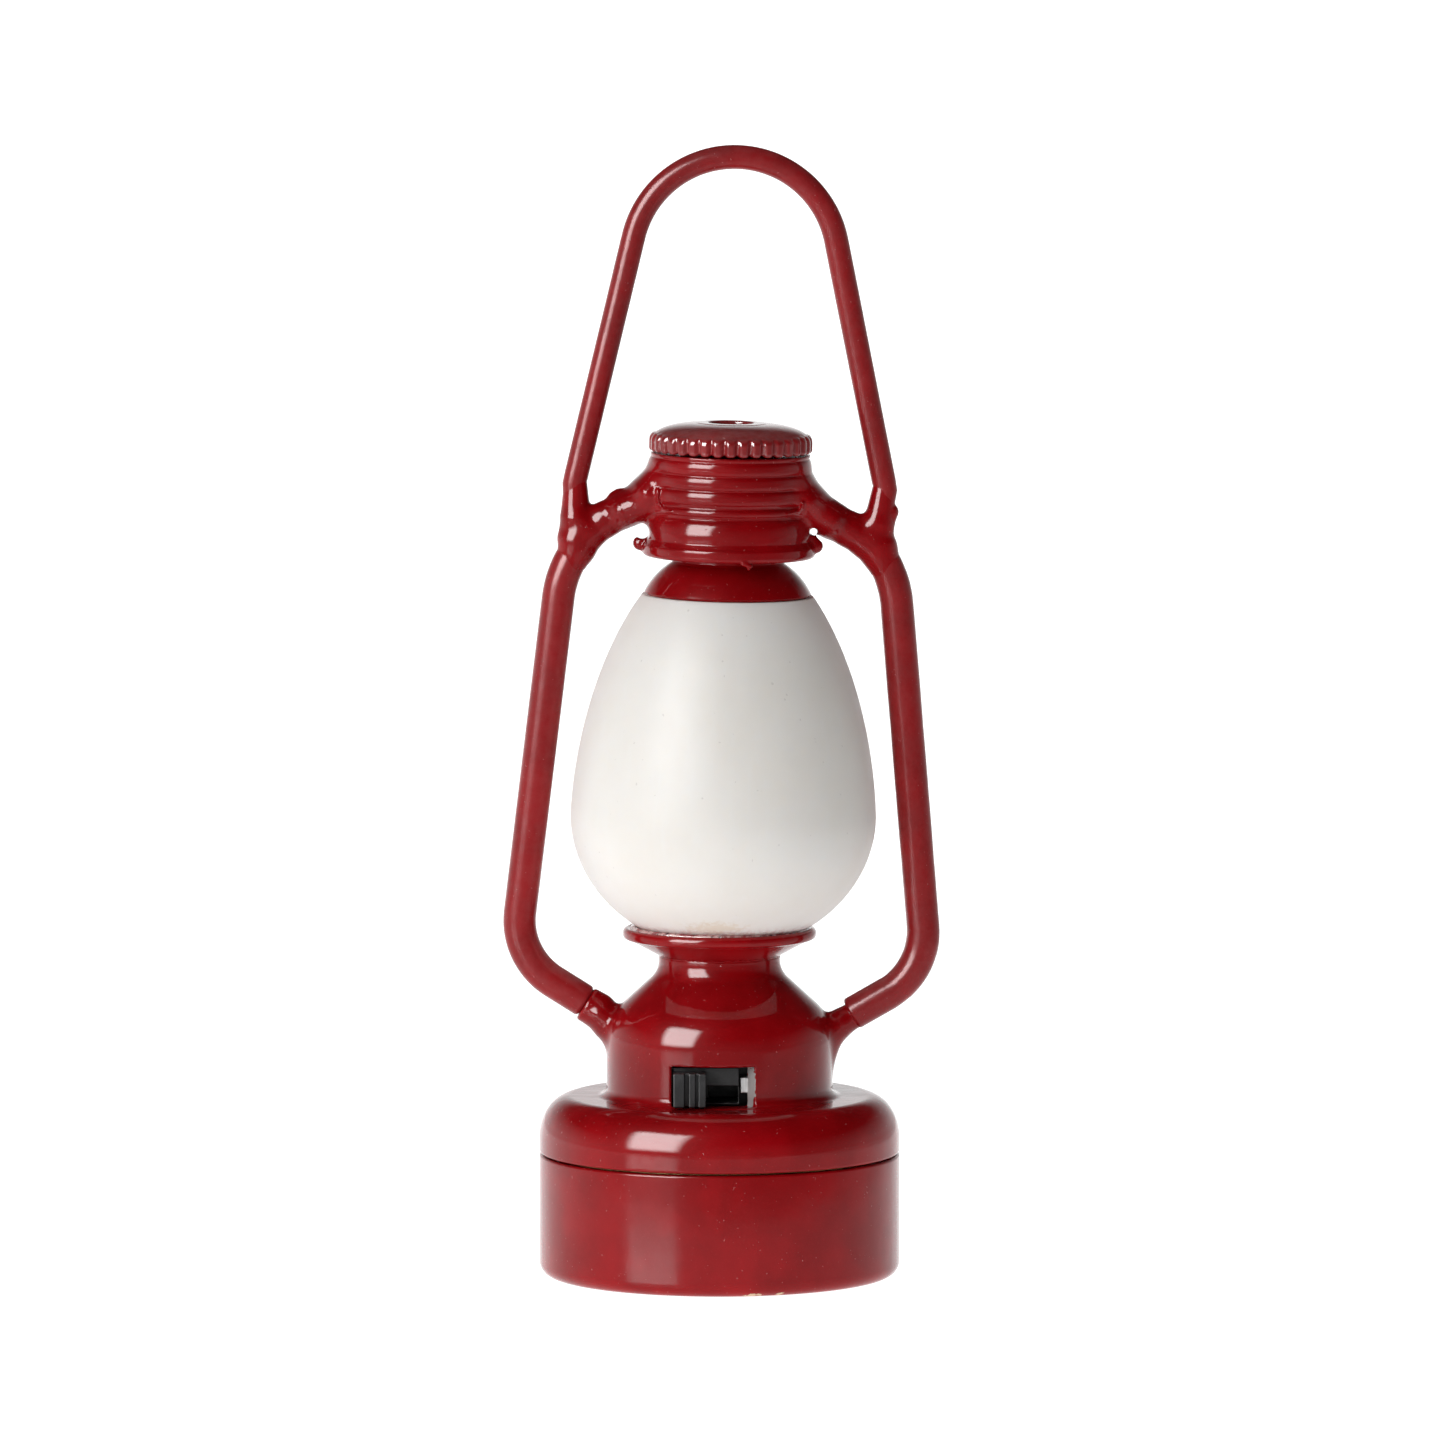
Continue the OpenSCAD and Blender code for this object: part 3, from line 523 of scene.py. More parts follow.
def circuit_board():
    """Green resist over tracks and a glass-fibre weave."""
    s = Shader("board_resist")
    s.set(Coat_Weight=0.4, Coat_Roughness=0.2)
    weave = s.add("ShaderNodeTexChecker")
    s.link(s.place, weave.inputs["Vector"])
    weave.inputs["Scale"].default_value = 3.0
    colour = s.mix(s.span(s.noise(0.8, 3), 0.4, 0.6), (0.02, 0.13, 0.05), (0.03, 0.2, 0.08))
    track = s.span(s.noise(0.45, 0), 0.56, 0.58)
    colour = s.mix(track, colour, (0.05, 0.27, 0.11))
    s.bump([(track, 0.03), (weave.outputs["Fac"], 0.004)])
    return s.finish(colour, s.span(s.noise(4.0, 2), 0.3, 0.7, 0.35, 0.5))


def lamp_body():
    """Warm white, slightly hazy epoxy."""
    s = Shader("lamp_epoxy")
    s.set(Transmission_Weight=0.5, IOR=1.5, Subsurface_Weight=0.3, Subsurface_Scale=0.001)
    haze = s.noise(1.5, 3)
    s.bump([(s.noise(1.2, 2), 0.01)])
    colour = s.mix(s.span(haze, 0.3, 0.7), (0.9, 0.76, 0.42), (0.95, 0.88, 0.62))
    return s.finish(colour, s.span(haze, 0.3, 0.7, 0.2, 0.35))


def adhesive():
    """Clear glue on the cup's seat, dusty and dirty with red overspray."""
    s = Shader("adhesive")
    s.set(Coat_Weight=1.0, Coat_Roughness=0.05, Coat_IOR=1.5)
    clouds = s.noise(1.4, 4, 0.6)
    colour = s.mix(s.span(clouds, 0.4, 0.58), (0.74, 0.50, 0.48), (0.30, 0.02, 0.025))
    colour = s.mix(s.span(s.noise(4.0, 2), 0.58, 0.66), colour, (0.05, 0.012, 0.012))
    s.bump([(clouds, 0.12), (s.noise(6.0, 2), 0.03)])
    return s.finish(colour, s.span(clouds, 0.3, 0.7, 0.2, 0.45))


def floor_material():
    """Pale glossy board that shines like a backlit sheet, less so far to the right and out in front."""
    s = Shader("pale_floor")
    s.set(Roughness=0.16, Specular_IOR_Level=0.1)
    s.main.inputs["Emission Color"].default_value = (1.0, 1.0, 1.0, 1.0)
    parts = s.add("ShaderNodeSeparateXYZ")
    s.link(s.place, parts.inputs[0])
    spread = s.math("MULTIPLY", s.math("MAXIMUM", parts.outputs["Y"], 0.0), 0.06)
    beside = s.span(s.math("SUBTRACT", parts.outputs["X"], spread), 50, 150, 1.0, 0.45)
    before = s.span(parts.outputs["Y"], -100, -72, 0.3, 1.0)
    s.link(s.math("MULTIPLY", s.math("MULTIPLY", beside, before), 0.97), s.main.inputs["Emission Strength"])
    cloud = s.noise(0.02, 2)
    return s.finish(s.mix(s.span(cloud, 0.3, 0.7), (0.42, 0.42, 0.42), (0.45, 0.45, 0.45)))


WINDOW_JAMB = ((WINDOW_HIGH[0] - 0.3, -6.2, 12.5), 0.5, (1.55, 0.6, 0.38), BARE_METAL)
EDGE_CHIPS = [
    ((1.95, -10.5, 0.12), 0.15, (0.4, 0.8, 1.0), TAN),
    ((3.7, -10.1, 0.15), 0.08, (0.6, 0.8, 1.0), TAN),
]
RED_ENAMEL = enamel("red_enamel", 0.045, 0.0012, marks=[WINDOW_JAMB])
RED_COLLAR = enamel("red_collar", 0.085, 0.0012)
# The rods get a paler dusty film with painted sheen on their upward and sideways faces.
RED_ROD = enamel("red_rod", 0.22, 0.006, 0.03, dust_and_sheen=(0.035, 0.07))
RED_SATIN = enamel("red_satin", 0.14, 0.004, 0.02, EDGE_CHIPS)
# The cap gets a paler dusty film with painted sheen, strongest on its upward faces.
RED_CAP = enamel("red_cap", 0.09, 0.005, dust_and_sheen=(0.03, 0.16), coat_ior=1.5)
OPAL = opal_glass()
STEEL = metal("steel", (0.62, 0.62, 0.61), (0.45, 0.45, 0.45), 0.28)
BRASS = metal("brass", (0.80, 0.60, 0.28), (0.62, 0.43, 0.18), 0.22, turned=True)
NICKEL = metal("cell_steel", (0.72, 0.72, 0.70), (0.6, 0.6, 0.58), 0.2, turned=True)
BLACK = plastic("black_plastic", (0.006, 0.006, 0.007), (0.003, 0.003, 0.004), 0.3)
WHITE = plastic("white_plastic", (0.82, 0.82, 0.79), (0.74, 0.74, 0.70), 0.4)
RUBBER = plastic("gasket", (0.03, 0.03, 0.03), (0.015, 0.015, 0.015), 0.6)
WIRE_RED = plastic("red_wire", (0.5, 0.03, 0.03), (0.38, 0.015, 0.015), 0.4)
WIRE_BLACK = plastic("black_wire", (0.02, 0.02, 0.02), (0.01, 0.01, 0.01), 0.4)
BOARD = circuit_board()
LAMP = lamp_body()
GLUE = adhesive()


# ---- base and battery cover

SEAM_EDGE_R = 0.15
SHOULDER_RX = 1.95
SHOULDER_RZ = 2.55
ROOT_FILLET = 0.55
DRUM_ROUND_R = 3.08
DRUM_ROUND_Z = 14.6
CONE_ANGLE = 47.5
WAIST_R = 1.5
FLARE_R = 0.35
FLARE_END = 122
RIM_RX = 0.3
RIM_RZ = 0.36
SEAT_R = 5.35
SEAT_GAP = 0.25
NECK_BORE_R = 2.75
RING_ROOM_R = 9.53
RING_SEAT_Z = 9.65
CEILING_Z = 10.2


def base_outline():
    """Outside of the base: shoulder, drum, cone, waist and flared cup."""
    z0 = SEAM_Z + SEAM_GAP / 2
    return join(
        [[-1, z0]],
        arc(BASE_R - SEAM_EDGE_R, z0 + SEAM_EDGE_R, SEAM_EDGE_R, SEAM_EDGE_R, -90, 0, 4),
        arc(BASE_R - SHOULDER_RX, SHOULDER_Z - SHOULDER_RZ, SHOULDER_RX, SHOULDER_RZ, 0, 90, 30),
        arc(DRUM_R + ROOT_FILLET, SHOULDER_Z + ROOT_FILLET, ROOT_FILLET, ROOT_FILLET, 270, 180, 8),
        arc(DRUM_R - DRUM_ROUND_R, DRUM_ROUND_Z, DRUM_ROUND_R, DRUM_ROUND_R, 0, CONE_ANGLE, 20),
        arc(NECK_R + WAIST_R, NECK_Z, WAIST_R, WAIST_R, 180 + CONE_ANGLE, 180, 14),
        arc(NECK_R + FLARE_R, NECK_Z + 0.1, FLARE_R, FLARE_R, 180, FLARE_END, 6),
        [[CUP_R - 0.4, CUP_Z - 2 * RIM_RZ]],
        arc(CUP_R - RIM_RX, CUP_Z - RIM_RZ, RIM_RX, RIM_RZ, -55, 125, 12),
        [[-1, CUP_Z - 0.05]],
    )


def base_cavity():
    """Inside of the base: the globe's seat, the neck's bore, the drum, and room for the threaded ring."""
    drum_in_r = DRUM_R - DRUM_WALL
    r = np.linspace(SEAT_R, NECK_BORE_R, 12)
    return join(
        [[-1, CUP_Z + 1], [SEAT_R, CUP_Z + 1]],
        np.stack([r, egg_low(r, -SEAT_GAP)], 1),
        [[NECK_BORE_R, 18.4], [4.2, 17.1], [drum_in_r - 0.5, 15.6], [drum_in_r, 14.4]],
        [[drum_in_r, CEILING_Z], [8.7, CEILING_Z], [RING_ROOM_R, RING_SEAT_Z]],
        [[RING_ROOM_R, SEAM_Z - 1.6], [-1, SEAM_Z - 1.6]],
    )


JAMB_W = 0.5
JAMB_SLOPE = 1.7
POST_X = 7.4
POST_R = 1.0
SCREW_R = 0.48
CREASE_R = 0.05
EAR_X = 8.35
EAR_DROP = math.radians(31)
EAR_DIR = np.array([math.cos(EAR_DROP), math.sin(EAR_DROP)])
LOW_CENTRE = {-1: np.array([7.95, 21.85]), 1: np.array([8.0, 21.5])}
LOW_R = 4.5


def ear_joint(side):
    """The place where a strut meets its ear."""
    start = LOW_CENTRE[side] + LOW_R * np.array([EAR_DIR[1], -EAR_DIR[0]])
    return start - EAR_DIR * (start[0] - EAR_X) / EAR_DIR[0]


STUB_R = {-1: 1.07, 1: 0.84}
STUB_DROP = {-1: 0.0, 1: 0.26}
WEB_R = {-1: 0.98, 1: 0.8}
GUSSET = {-1: ([6.9, 15.3], [6.3, 14.3]), 1: ([7.0, 15.0], [6.3, 12.6])}


def ear(p, side):
    """One ear: a stub that takes the strut, a web to the drum and a gusset that runs down it."""
    q = p * np.array([side, 1, 1])
    joint = ear_joint(side)
    seat = joint - STUB_DROP[side] * np.array([-EAR_DIR[1], EAR_DIR[0]])
    root = seat - 1.2 * EAR_DIR
    stub = cone(q, seat + 0.3 * EAR_DIR, root, STUB_R[side], STUB_R[side])
    web = cone(q, root, [5.6, 14.7], WEB_R[side], 1.25, 0.75)
    gusset = cone(q, *GUSSET[side], 0.75, 0.5, 0.8)
    whole = smooth_min(smooth_min(stub, web, 0.35), gusset, 0.5)
    if side < 0:
        lump = cone(q, joint + [-0.55, 0.12], joint + [-1.0, -0.1], 0.75, 0.72)
        whole = smooth_min(whole, lump, 0.25)
    end = (q[:, 0] - joint[0]) * EAR_DIR[0] + (q[:, 2] - joint[1]) * EAR_DIR[1]
    return smooth_max(whole, end, 0.25)


def base_field():
    """The base body as a distance field: both outlines, the ears, the screw posts and the switch window."""
    outside, cavity = outline_distance(base_outline()), outline_distance(base_cavity())
    behind = -DRUM_R + DRUM_WALL + 2
    low = (WINDOW_LOW[0], -DRUM_R - 1, WINDOW_LOW[1])
    high = (WINDOW_HIGH[0] - JAMB_W, behind, WINDOW_HIGH[1])
    wide = (WINDOW_HIGH[0], behind, WINDOW_HIGH[1])

    def field(p):
        body = smooth_min(outside(p), smooth_min(ear(p, -1), ear(p, 1), 0.1), 0.45)
        out = np.hypot(p[:, 0], p[:, 1]) - NECK_R - 0.02
        crease = np.hypot(out, p[:, 2] - NECK_Z - 0.28) - CREASE_R
        body = smooth_max(body, -crease, 0.1)
        body = smooth_max(body, -cavity(p), 0.1)
        for s in SIDES:
            post = np.hypot(p[:, 0] - s * POST_X, p[:, 1])
            boss = np.maximum(post - POST_R, np.abs(p[:, 2] - 10.0) - 0.5)
            hole = np.maximum(post - SCREW_R, np.abs(p[:, 2] - 9.6) - 1.05)
            body = np.maximum(np.minimum(body, boss), -hole)
        window = box_distance(p, low, high, 0.1)
        slope = p[:, 1] + DRUM_R - 0.3 - JAMB_SLOPE * (WINDOW_HIGH[0] - p[:, 0])
        slope = slope / math.hypot(1, JAMB_SLOPE)
        window = np.minimum(window, np.maximum(box_distance(p, low, wide, 0.1), slope))
        return smooth_max(body, -window, 0.1)
    return field


COVER_WALL = 1.05
COVER_FLOOR = 1.0
COVER_EDGE_RX = 0.85
COVER_EDGE_RZ = 0.9
THREAD_LEAD = 1.2
THREAD_Z = 5.1
RIDGE_TURNS = 1.5
RIDGE_H = 0.42


def cover_outline():
    """Section of the battery cover: a cup with a rounded foot."""
    top = SEAM_Z - SEAM_GAP / 2
    inner = BASE_R - COVER_WALL
    return join(
        [[0.001, 0]],
        arc(BASE_R - COVER_EDGE_RX, COVER_EDGE_RZ, COVER_EDGE_RX, COVER_EDGE_RZ, -90, 0, 16),
        arc(BASE_R - SEAM_EDGE_R, top - SEAM_EDGE_R, SEAM_EDGE_R, SEAM_EDGE_R, 0, 90, 5),
        arc(inner + 0.08, top - 0.08, 0.08, 0.08, 90, 180, 3),
        arc(inner - 0.3, COVER_FLOOR + 0.3, 0.3, 0.3, 0, -90, 4),
        [[0.001, COVER_FLOOR]],
    )


def thread_ridge():
    """Points and faces of the cover's inner thread ridge, which fades in and out."""
    steps = 72
    n = int(RIDGE_TURNS * steps)
    wall = BASE_R - COVER_WALL
    root = wall + 0.12
    crest = wall - RIDGE_H
    section = [(root, -0.26), (crest, -0.13), (crest, 0.13), (root, 0.26)]
    points = []
    for i in range(n + 1):
        a = 2 * math.pi * i / steps
        taper = min(1, i / 6, (n - i) / 6)
        for r, dz in section:
            rr = root + (r - root) * taper
            z = THREAD_Z + dz * max(taper, 0.2) + THREAD_LEAD * i / steps
            points.append((rr * math.cos(a), rr * math.sin(a), z))
    faces = []
    for i in range(n):
        for j in range(4):
            k = (j + 1) % 4
            faces.append([i * 4 + j, i * 4 + k, i * 4 + 4 + k, i * 4 + 4 + j])
    faces += [[3, 2, 1, 0], [4 * n, 4 * n + 1, 4 * n + 2, 4 * n + 3]]
    return points, faces


def make_base():
    shape = skin(base_field(), (-11.4, -11.4, 7.3), (11.4, 11.4, 21.9), 0.13)
    piece("base_body_skin", shape, RED_ENAMEL, "lantern", ["base_body"])


def make_cover():
    shape = lathe(cover_outline(), 320)
    cover = piece("battery_cover_shell", shape, RED_SATIN, "cover", ["battery_cover"])
    sharpen(cover, 40)
    ridge = piece("cover_thread", thread_ridge(), RED_SATIN, "cover", [])
    sharpen(ridge, 30)


# ---- globe, crown, cap

def make_globe():
    shape = lathe(join(egg(0.0), egg(GLOBE_WALL)[::-1]), 256)
    globe = piece("globe_shell", shape, OPAL, "lantern", ["globe"], leans=True)
    sharpen(globe, 50)


GLUE_R = 5.29
GLUE_Z = 21.5
GLUE_SIZE = 0.23


def make_seal():
    """An uneven bead of glue on the cup's seat."""
    n, m = 240, 12
    angle = np.linspace(0, 2 * math.pi, n, endpoint=False)
    waves = sum(np.sin(angle * k + p) / k for k, p in zip((3, 7, 13, 29, 41), random.uniform(0, 6, 5)))
    r0 = GLUE_R + 0.03 * waves
    size = GLUE_SIZE + 0.025 * np.roll(waves, 40)
    turn = np.linspace(0, 2 * math.pi, m, endpoint=False)
    r = r0[:, None] + size[:, None] * np.cos(turn)
    z = GLUE_Z + size[:, None] * np.sin(turn) + 0.03 * waves[:, None]
    points = np.stack([r * np.cos(angle)[:, None], r * np.sin(angle)[:, None], z], -1).reshape(-1, 3)
    piece("globe_glue", (points, ring_faces(n, m)), GLUE, "lantern", ["globe_seal"])


CROWN_RIM_R = 5.15
CROWN_ROUND_R = 4.5
CROWN_ROUND_Z = 40.4
CROWN_START = 26
CROWN_END = 58
CROWN_NECK_R = 3.42
CROWN_BORE_R = 2.4
CROWN_TOP_Z = 48.0


def crown_outline():
    """Section of the dome on the globe, with its neck inside the collar."""
    rim = GLOBE_TOP_Z + 0.02
    dome_x = CROWN_RIM_R - CROWN_ROUND_R * math.cos(math.radians(CROWN_START))
    return join(
        [[CROWN_RIM_R - 0.12, rim]],
        arc(dome_x, CROWN_ROUND_Z, CROWN_ROUND_R, CROWN_ROUND_R, CROWN_START, CROWN_END, 24),
        arc(CROWN_NECK_R + 0.12, 44.36, 0.12, 0.12, 230, 180, 4),
        [[CROWN_NECK_R, CROWN_TOP_Z], [CROWN_BORE_R, CROWN_TOP_Z], [CROWN_BORE_R, 43.4], [3.4, 42.6]],
        [[3.6, rim - 1], [4.2, rim - 1], [4.2, rim]],
    )


def make_crown():
    shape = lathe(crown_outline(), 256)
    crown = piece("crown_dome", shape, RED_ENAMEL, "lantern", ["globe_crown"], leans=True)
    sharpen(crown, 40)


FLUTES = 38
FLUTE_DEPTH = 0.22
FLUTE_REACH = 0.75
CAP_EDGE_R = 0.62
CAP_CREST_R = 1.9
CAP_CREST_RISE = 0.72
EYELET_LOW_Z = 49.5


def cap_outline():
    """Section of the cap: a flat underside, a rounded rim and a low crown."""
    top = CAP_Z0 + CAP_H
    seat = CAP_Z0 - 0.1
    under = CAP_Z0 + 0.02
    crown_r = CAP_R - CAP_CREST_R - 0.2
    return join(
        [[1.8, seat], [3.0, seat], [3.1, under], [CAP_R - 0.3, under]],
        arc(CAP_R - 0.2, CAP_Z0 + 0.2, 0.2, 0.2, -90, 0, 6),
        arc(CAP_R - CAP_EDGE_R, CAP_Z0 + CAP_EDGE_R, CAP_EDGE_R, 0.55, 0, 50, 12),
        arc(CAP_CREST_R, CAP_Z0 + CAP_CREST_RISE, crown_r, CAP_H - CAP_CREST_RISE, 22, 90, 18),
        [[1.8, top]],
    )


def flute(r, z, a):
    """Rounded flutes round the cap's rim, deepest at its lower edge."""
    high = np.clip((z - CAP_Z0) / 1.15, 0, 1)
    reach = np.clip((r - (CAP_R - FLUTE_REACH)) / 0.35, 0, 1) * (1 - high ** 3)
    groove = np.abs(np.cos(a * FLUTES / 2)) ** 5
    low = np.clip(1 - (z - CAP_Z0) / 0.35, 0, 1)
    lifted = z - 0.06 * low * (1 - groove) * reach + 0.05 * low * groove * reach
    return r - FLUTE_DEPTH * reach * groove, lifted


def make_cap():
    shape = lathe(cap_outline(), FLUTES * 24, flute)
    cap = piece("fluted_cap", shape, RED_CAP, "lantern", ["chimney_cap"], leans=True)
    sharpen(cap, 60)


def make_eyelet():
    """The rolled eyelet that lines the vent, with a flange at each end."""
    top = CAP_Z0 + CAP_H
    flange = EYELET_LOW_Z + 0.35
    outline = join(
        [[VENT_R, EYELET_LOW_Z]],
        arc(VENT_R + 0.12, top - 0.09, 0.12, 0.12, 180, 90, 5),
        arc(CAP_CREST_R, top - 0.02, 0.3, 0.045, 90, 10, 6),
        [[1.75, top - 0.05], [1.75, flange], [2.3, flange], [2.3, flange - 0.25]],
    )
    shape = lathe(outline, 128)
    eyelet = piece("vent_eyelet", shape, RED_CAP, "lantern", ["cap_eyelet"], leans=True)
    sharpen(eyelet, 40)


# ---- collar, struts and bail

BAIL_TILT = math.radians(12.35)
BAIL_CENTRE_Z = TOTAL_H - BAIL_R - BAIL_WIRE_R
BAIL_TOP = np.array([BAIL_R * math.cos(BAIL_TILT), BAIL_CENTRE_Z + BAIL_R * math.sin(BAIL_TILT)])
BAIL_DIR = np.array([math.sin(BAIL_TILT), -math.cos(BAIL_TILT)])
BAIL_FOOT_Z = 47.2
BAIL_BEND = 1.8
BAIL_FOOT = BAIL_TOP - BAIL_DIR * (BAIL_TOP[1] - BAIL_FOOT_Z) / BAIL_DIR[1]
STRUT_TILT = 5.9
HIGH_CENTRE = np.array([3.885, 41.17])
HIGH_R = 6.59
HIGH_END = STRUT_TILT + 29


def on_high(angle):
    """A place on the middle line of the upper bend of a strut."""
    turn = math.radians(angle)
    return HIGH_CENTRE + HIGH_R * np.array([math.cos(turn), math.sin(turn)])


STRUT_TOP = on_high(HIGH_END)


BELL_RIM_R = 5.35
BELL_WAIST_R = 5.12
BEAD_ROOT_R = 4.74
BAND_R = 5.0
BAND_Z = 48.52
BAND_PITCH = 0.9
BAND_RX = 0.15
BAND_RZ = 0.4
COLLAR_RIM_R = 4.92
COLLAR_BORE_R = 3.45
COLLAR_VENT_R = 1.78
COLLAR_CEILING = 1.1
BEAD = [(0.0, 47.35), (0.12, 47.47), (0.16, 47.62), (0.12, 47.76), (0.0, 47.84), (0.0, 47.95)]


def collar_outline():
    """Outside of the collar: bell, bead, three raised bands and the rim under the cap."""
    bands = [
        arc(BAND_R - BAND_RX, BAND_Z + i * BAND_PITCH, BAND_RX, BAND_RZ, -90, 90, 10)
        for i in range(3)
    ]
    return join(
        [[-1, COLLAR_Z0]],
        arc(BELL_RIM_R - 0.3, COLLAR_Z0 + 0.3, 0.3, 0.3, -90, 0, 6),
        arc(BELL_RIM_R - 0.25, COLLAR_Z0 + 0.6, 0.25, 0.26, 0, 55, 5),
        arc(BELL_WAIST_R - 0.5, 46.1, 0.5, 1.1, -22, 78, 14),
        [[BEAD_ROOT_R + rise, z] for rise, z in BEAD],
        *bands,
        [[COLLAR_RIM_R, COLLAR_Z1 - 0.16], [COLLAR_RIM_R, COLLAR_Z1], [-1, COLLAR_Z1]],
    )


def collar_bore():
    """Inside of the collar: the crown's neck below, and the vent through the top."""
    low = COLLAR_Z1 - COLLAR_CEILING
    return join(
        [[-1, COLLAR_Z0 - 1], [COLLAR_BORE_R, COLLAR_Z0 - 1], [COLLAR_BORE_R, low]],
        [[COLLAR_VENT_R, low], [COLLAR_VENT_R, COLLAR_Z1 + 1], [-1, COLLAR_Z1 + 1]],
    )


ROD_R = 1.09
KNUCKLE = np.array([9.35, 46.9])
ARM_OUT = {-1: 0.12, 1: -0.12}
ARM_DROP = {-1: 0.0, 1: 0.4}


def arm(p, side):
    """One arm of the collar: a wing that spreads over its side, then a bent bar that runs down into the
    strut, with the foot of the bail soldered on its bend."""
    out, drop = ARM_OUT[side], ARM_DROP[side]
    shift = np.array([out, 0])
    q = p * np.array([side, 1, 1]) - np.array([out, 0, 0])
    wing = cone(q, [4.2, 50.1], [5.0, 48.7 - drop], 0.62, 0.8, 0.34)
    root = cone(q, [4.1, 48.35], [6.4, 47.4 - drop], 1.5, 1.1, 0.62)
    line = [[6.3, 47.4 - drop], [7.5, 46.75 - 0.8 * drop], [8.55, 45.95 - 0.4 * drop], STRUT_TOP - shift]
    line.append(on_high(22) - shift)
    sizes = [ROD_R, ROD_R, ROD_R + 0.02, ROD_R, 0.99]
    bar = np.full(len(p), 1e9)
    for a, b, ra, rb in zip(line, line[1:], sizes, sizes[1:]):
        bar = smooth_min(bar, cone(q, a, b, ra, rb), 0.25)
    knuckle = cone(q, [9.15, 46.6], [9.3, 45.6], 0.98, 1.1)
    foot = cone(q, [9.52 - out, 49.2], KNUCKLE, 0.7, 0.95)
    whole = smooth_min(smooth_min(wing, root, 0.7), bar, 0.4)
    whole = smooth_min(whole, smooth_min(knuckle, foot, 0.4), 0.45)
    if side < 0:
        whole = smooth_min(whole, cone(q, [6.75, 48.3], [7.0, 48.15], 0.3, 0.28), 0.35)
        whole = smooth_min(whole, cone(q, [9.85, 45.6], [9.8, 46.2], 0.55, 0.5), 0.2)
    else:
        whole = smooth_min(whole, cone(q, [10.0, 47.55], [9.85, 47.0], 0.55, 0.5), 0.12)
    return whole


RIDGE_LEFT = [[-3.6, 47.58], [-4.1, 47.7], [-4.35, 48.0], [-4.45, 48.4], [-4.42, 48.85]]
RIDGE_RIGHT = [[3.6, 47.58], [4.2, 47.68], [4.45, 47.9], [4.5, 48.2]]


def trace(p, line):
    """Distance from a line drawn on the front, measured in the XZ plane."""
    best = np.full(len(p), 1e9)
    for a, b in zip(np.array(line), np.array(line[1:])):
        along = b - a
        share = np.clip(((p[:, [0, 2]] - a) @ along) / (along @ along), 0, 1)
        best = np.minimum(best, np.linalg.norm(p[:, [0, 2]] - a - share[:, None] * along, axis=1))
    return best


NOTCH = {-1: (5.35, 46.05, 0.42), 1: (5.2, 46.3, 0.22)}
NOTCH_FLOOR_R = 4.92
LUG = {-1: [5.45, -0.3, 45.35], 1: [5.35, -0.5, 45.4]}
RIDGE_W = 0.11
CURL_H = 0.10


def collar_field():
    """The collar as a distance field: outlines, arms, lugs, a drip of paint, notches and solder ridges."""
    outside, bore = outline_distance(collar_outline()), outline_distance(collar_bore())

    def field(p):
        arms = np.minimum(arm(p, -1), arm(p, 1))
        body = smooth_min(outside(p), arms, 0.5)
        for side, lug in LUG.items():
            q = p * np.array([side, 1, 1])
            top = [lug[0] - 0.3, lug[1] - 0.1, lug[2] + 0.5]
            body = smooth_min(body, cone(q, lug, top, 0.46, 0.3), 0.18)
        lip = cone(p, [0.95, -5.12, 44.62], [1.35, -5.08, 44.45], 0.16, 0.13)
        drop = cone(p, [1.2, -5.1, 44.5], [1.25, -5.05, 44.3], 0.14, 0.10)
        body = smooth_min(body, np.minimum(lip, drop), 0.15)
        for side, (x, z, r) in NOTCH.items():
            q = p * np.array([side, 1, 1])
            hole = np.hypot(q[:, 0] - x, q[:, 2] - z) - r
            hole = np.maximum(hole, NOTCH_FLOOR_R - np.hypot(p[:, 0], p[:, 1]))
            body = smooth_max(body, -hole, 0.15)
        curls = np.minimum(trace(p, RIDGE_LEFT), trace(p, RIDGE_RIGHT))
        body = body - np.where(p[:, 1] < 0, CURL_H * np.exp(-(curls / RIDGE_W) ** 2), 0)
        return smooth_max(body, -bore(p), 0.1)
    return field


def make_collar():
    shape = skin(collar_field(), (-11.9, -6.3, 43.6), (11.9, 6.3, 51.6), 0.105)
    piece("collar_skin", shape, RED_COLLAR, "lantern", ["collar"], leans=True)


def strut_path(side):
    """From inside the ear, round the lower bend, up the leg and round the upper bend."""
    bend = arc(*LOW_CENTRE[side], LOW_R, LOW_R, math.degrees(EAR_DROP) - 90, STRUT_TILT, 30)
    leg = np.linspace(bend[-1], on_high(STRUT_TILT), 30)[1:-1]
    start = ear_joint(side) - (0.1 if side < 0 else 0.25) * EAR_DIR
    return join([start], bend, leg, arc(*HIGH_CENTRE, HIGH_R, HIGH_R, STRUT_TILT, HIGH_END - 2, 16))


def make_struts():
    for side, name in ((-1, "left_strut"), (1, "right_strut")):
        path, radii = rounded_ends(strut_path(side), STRUT_R, 0.22)
        shape = sweep(path * [side, 1], radii, 48, 0.012)
        rod = piece(name + "_rod", shape, RED_ROD, "lantern", [name], leans=True)
        sharpen(rod, 60)


def make_bail():
    tilt = math.degrees(BAIL_TILT)
    top = arc(0, BAIL_CENTRE_Z, BAIL_R, BAIL_R, tilt, 180 - tilt, 60)
    legs = []
    for side in (1, -1):
        leg = np.linspace(BAIL_FOOT - BAIL_BEND * BAIL_DIR, top[0], 30)[:-1]
        leg = join([KNUCKLE + [ARM_OUT[side], 0]], leg)
        legs.append(leg * [side, 1])
    path, radii = rounded_ends(join(legs[0], top, legs[1][::-1]), BAIL_WIRE_R, 0.12)
    shape = sweep(path, radii, 40, 0.015)
    bail = piece("bail_wire", shape, RED_ROD, "lantern", ["bail_handle"], leans=True)
    sharpen(bail, 60)


# ---- switch

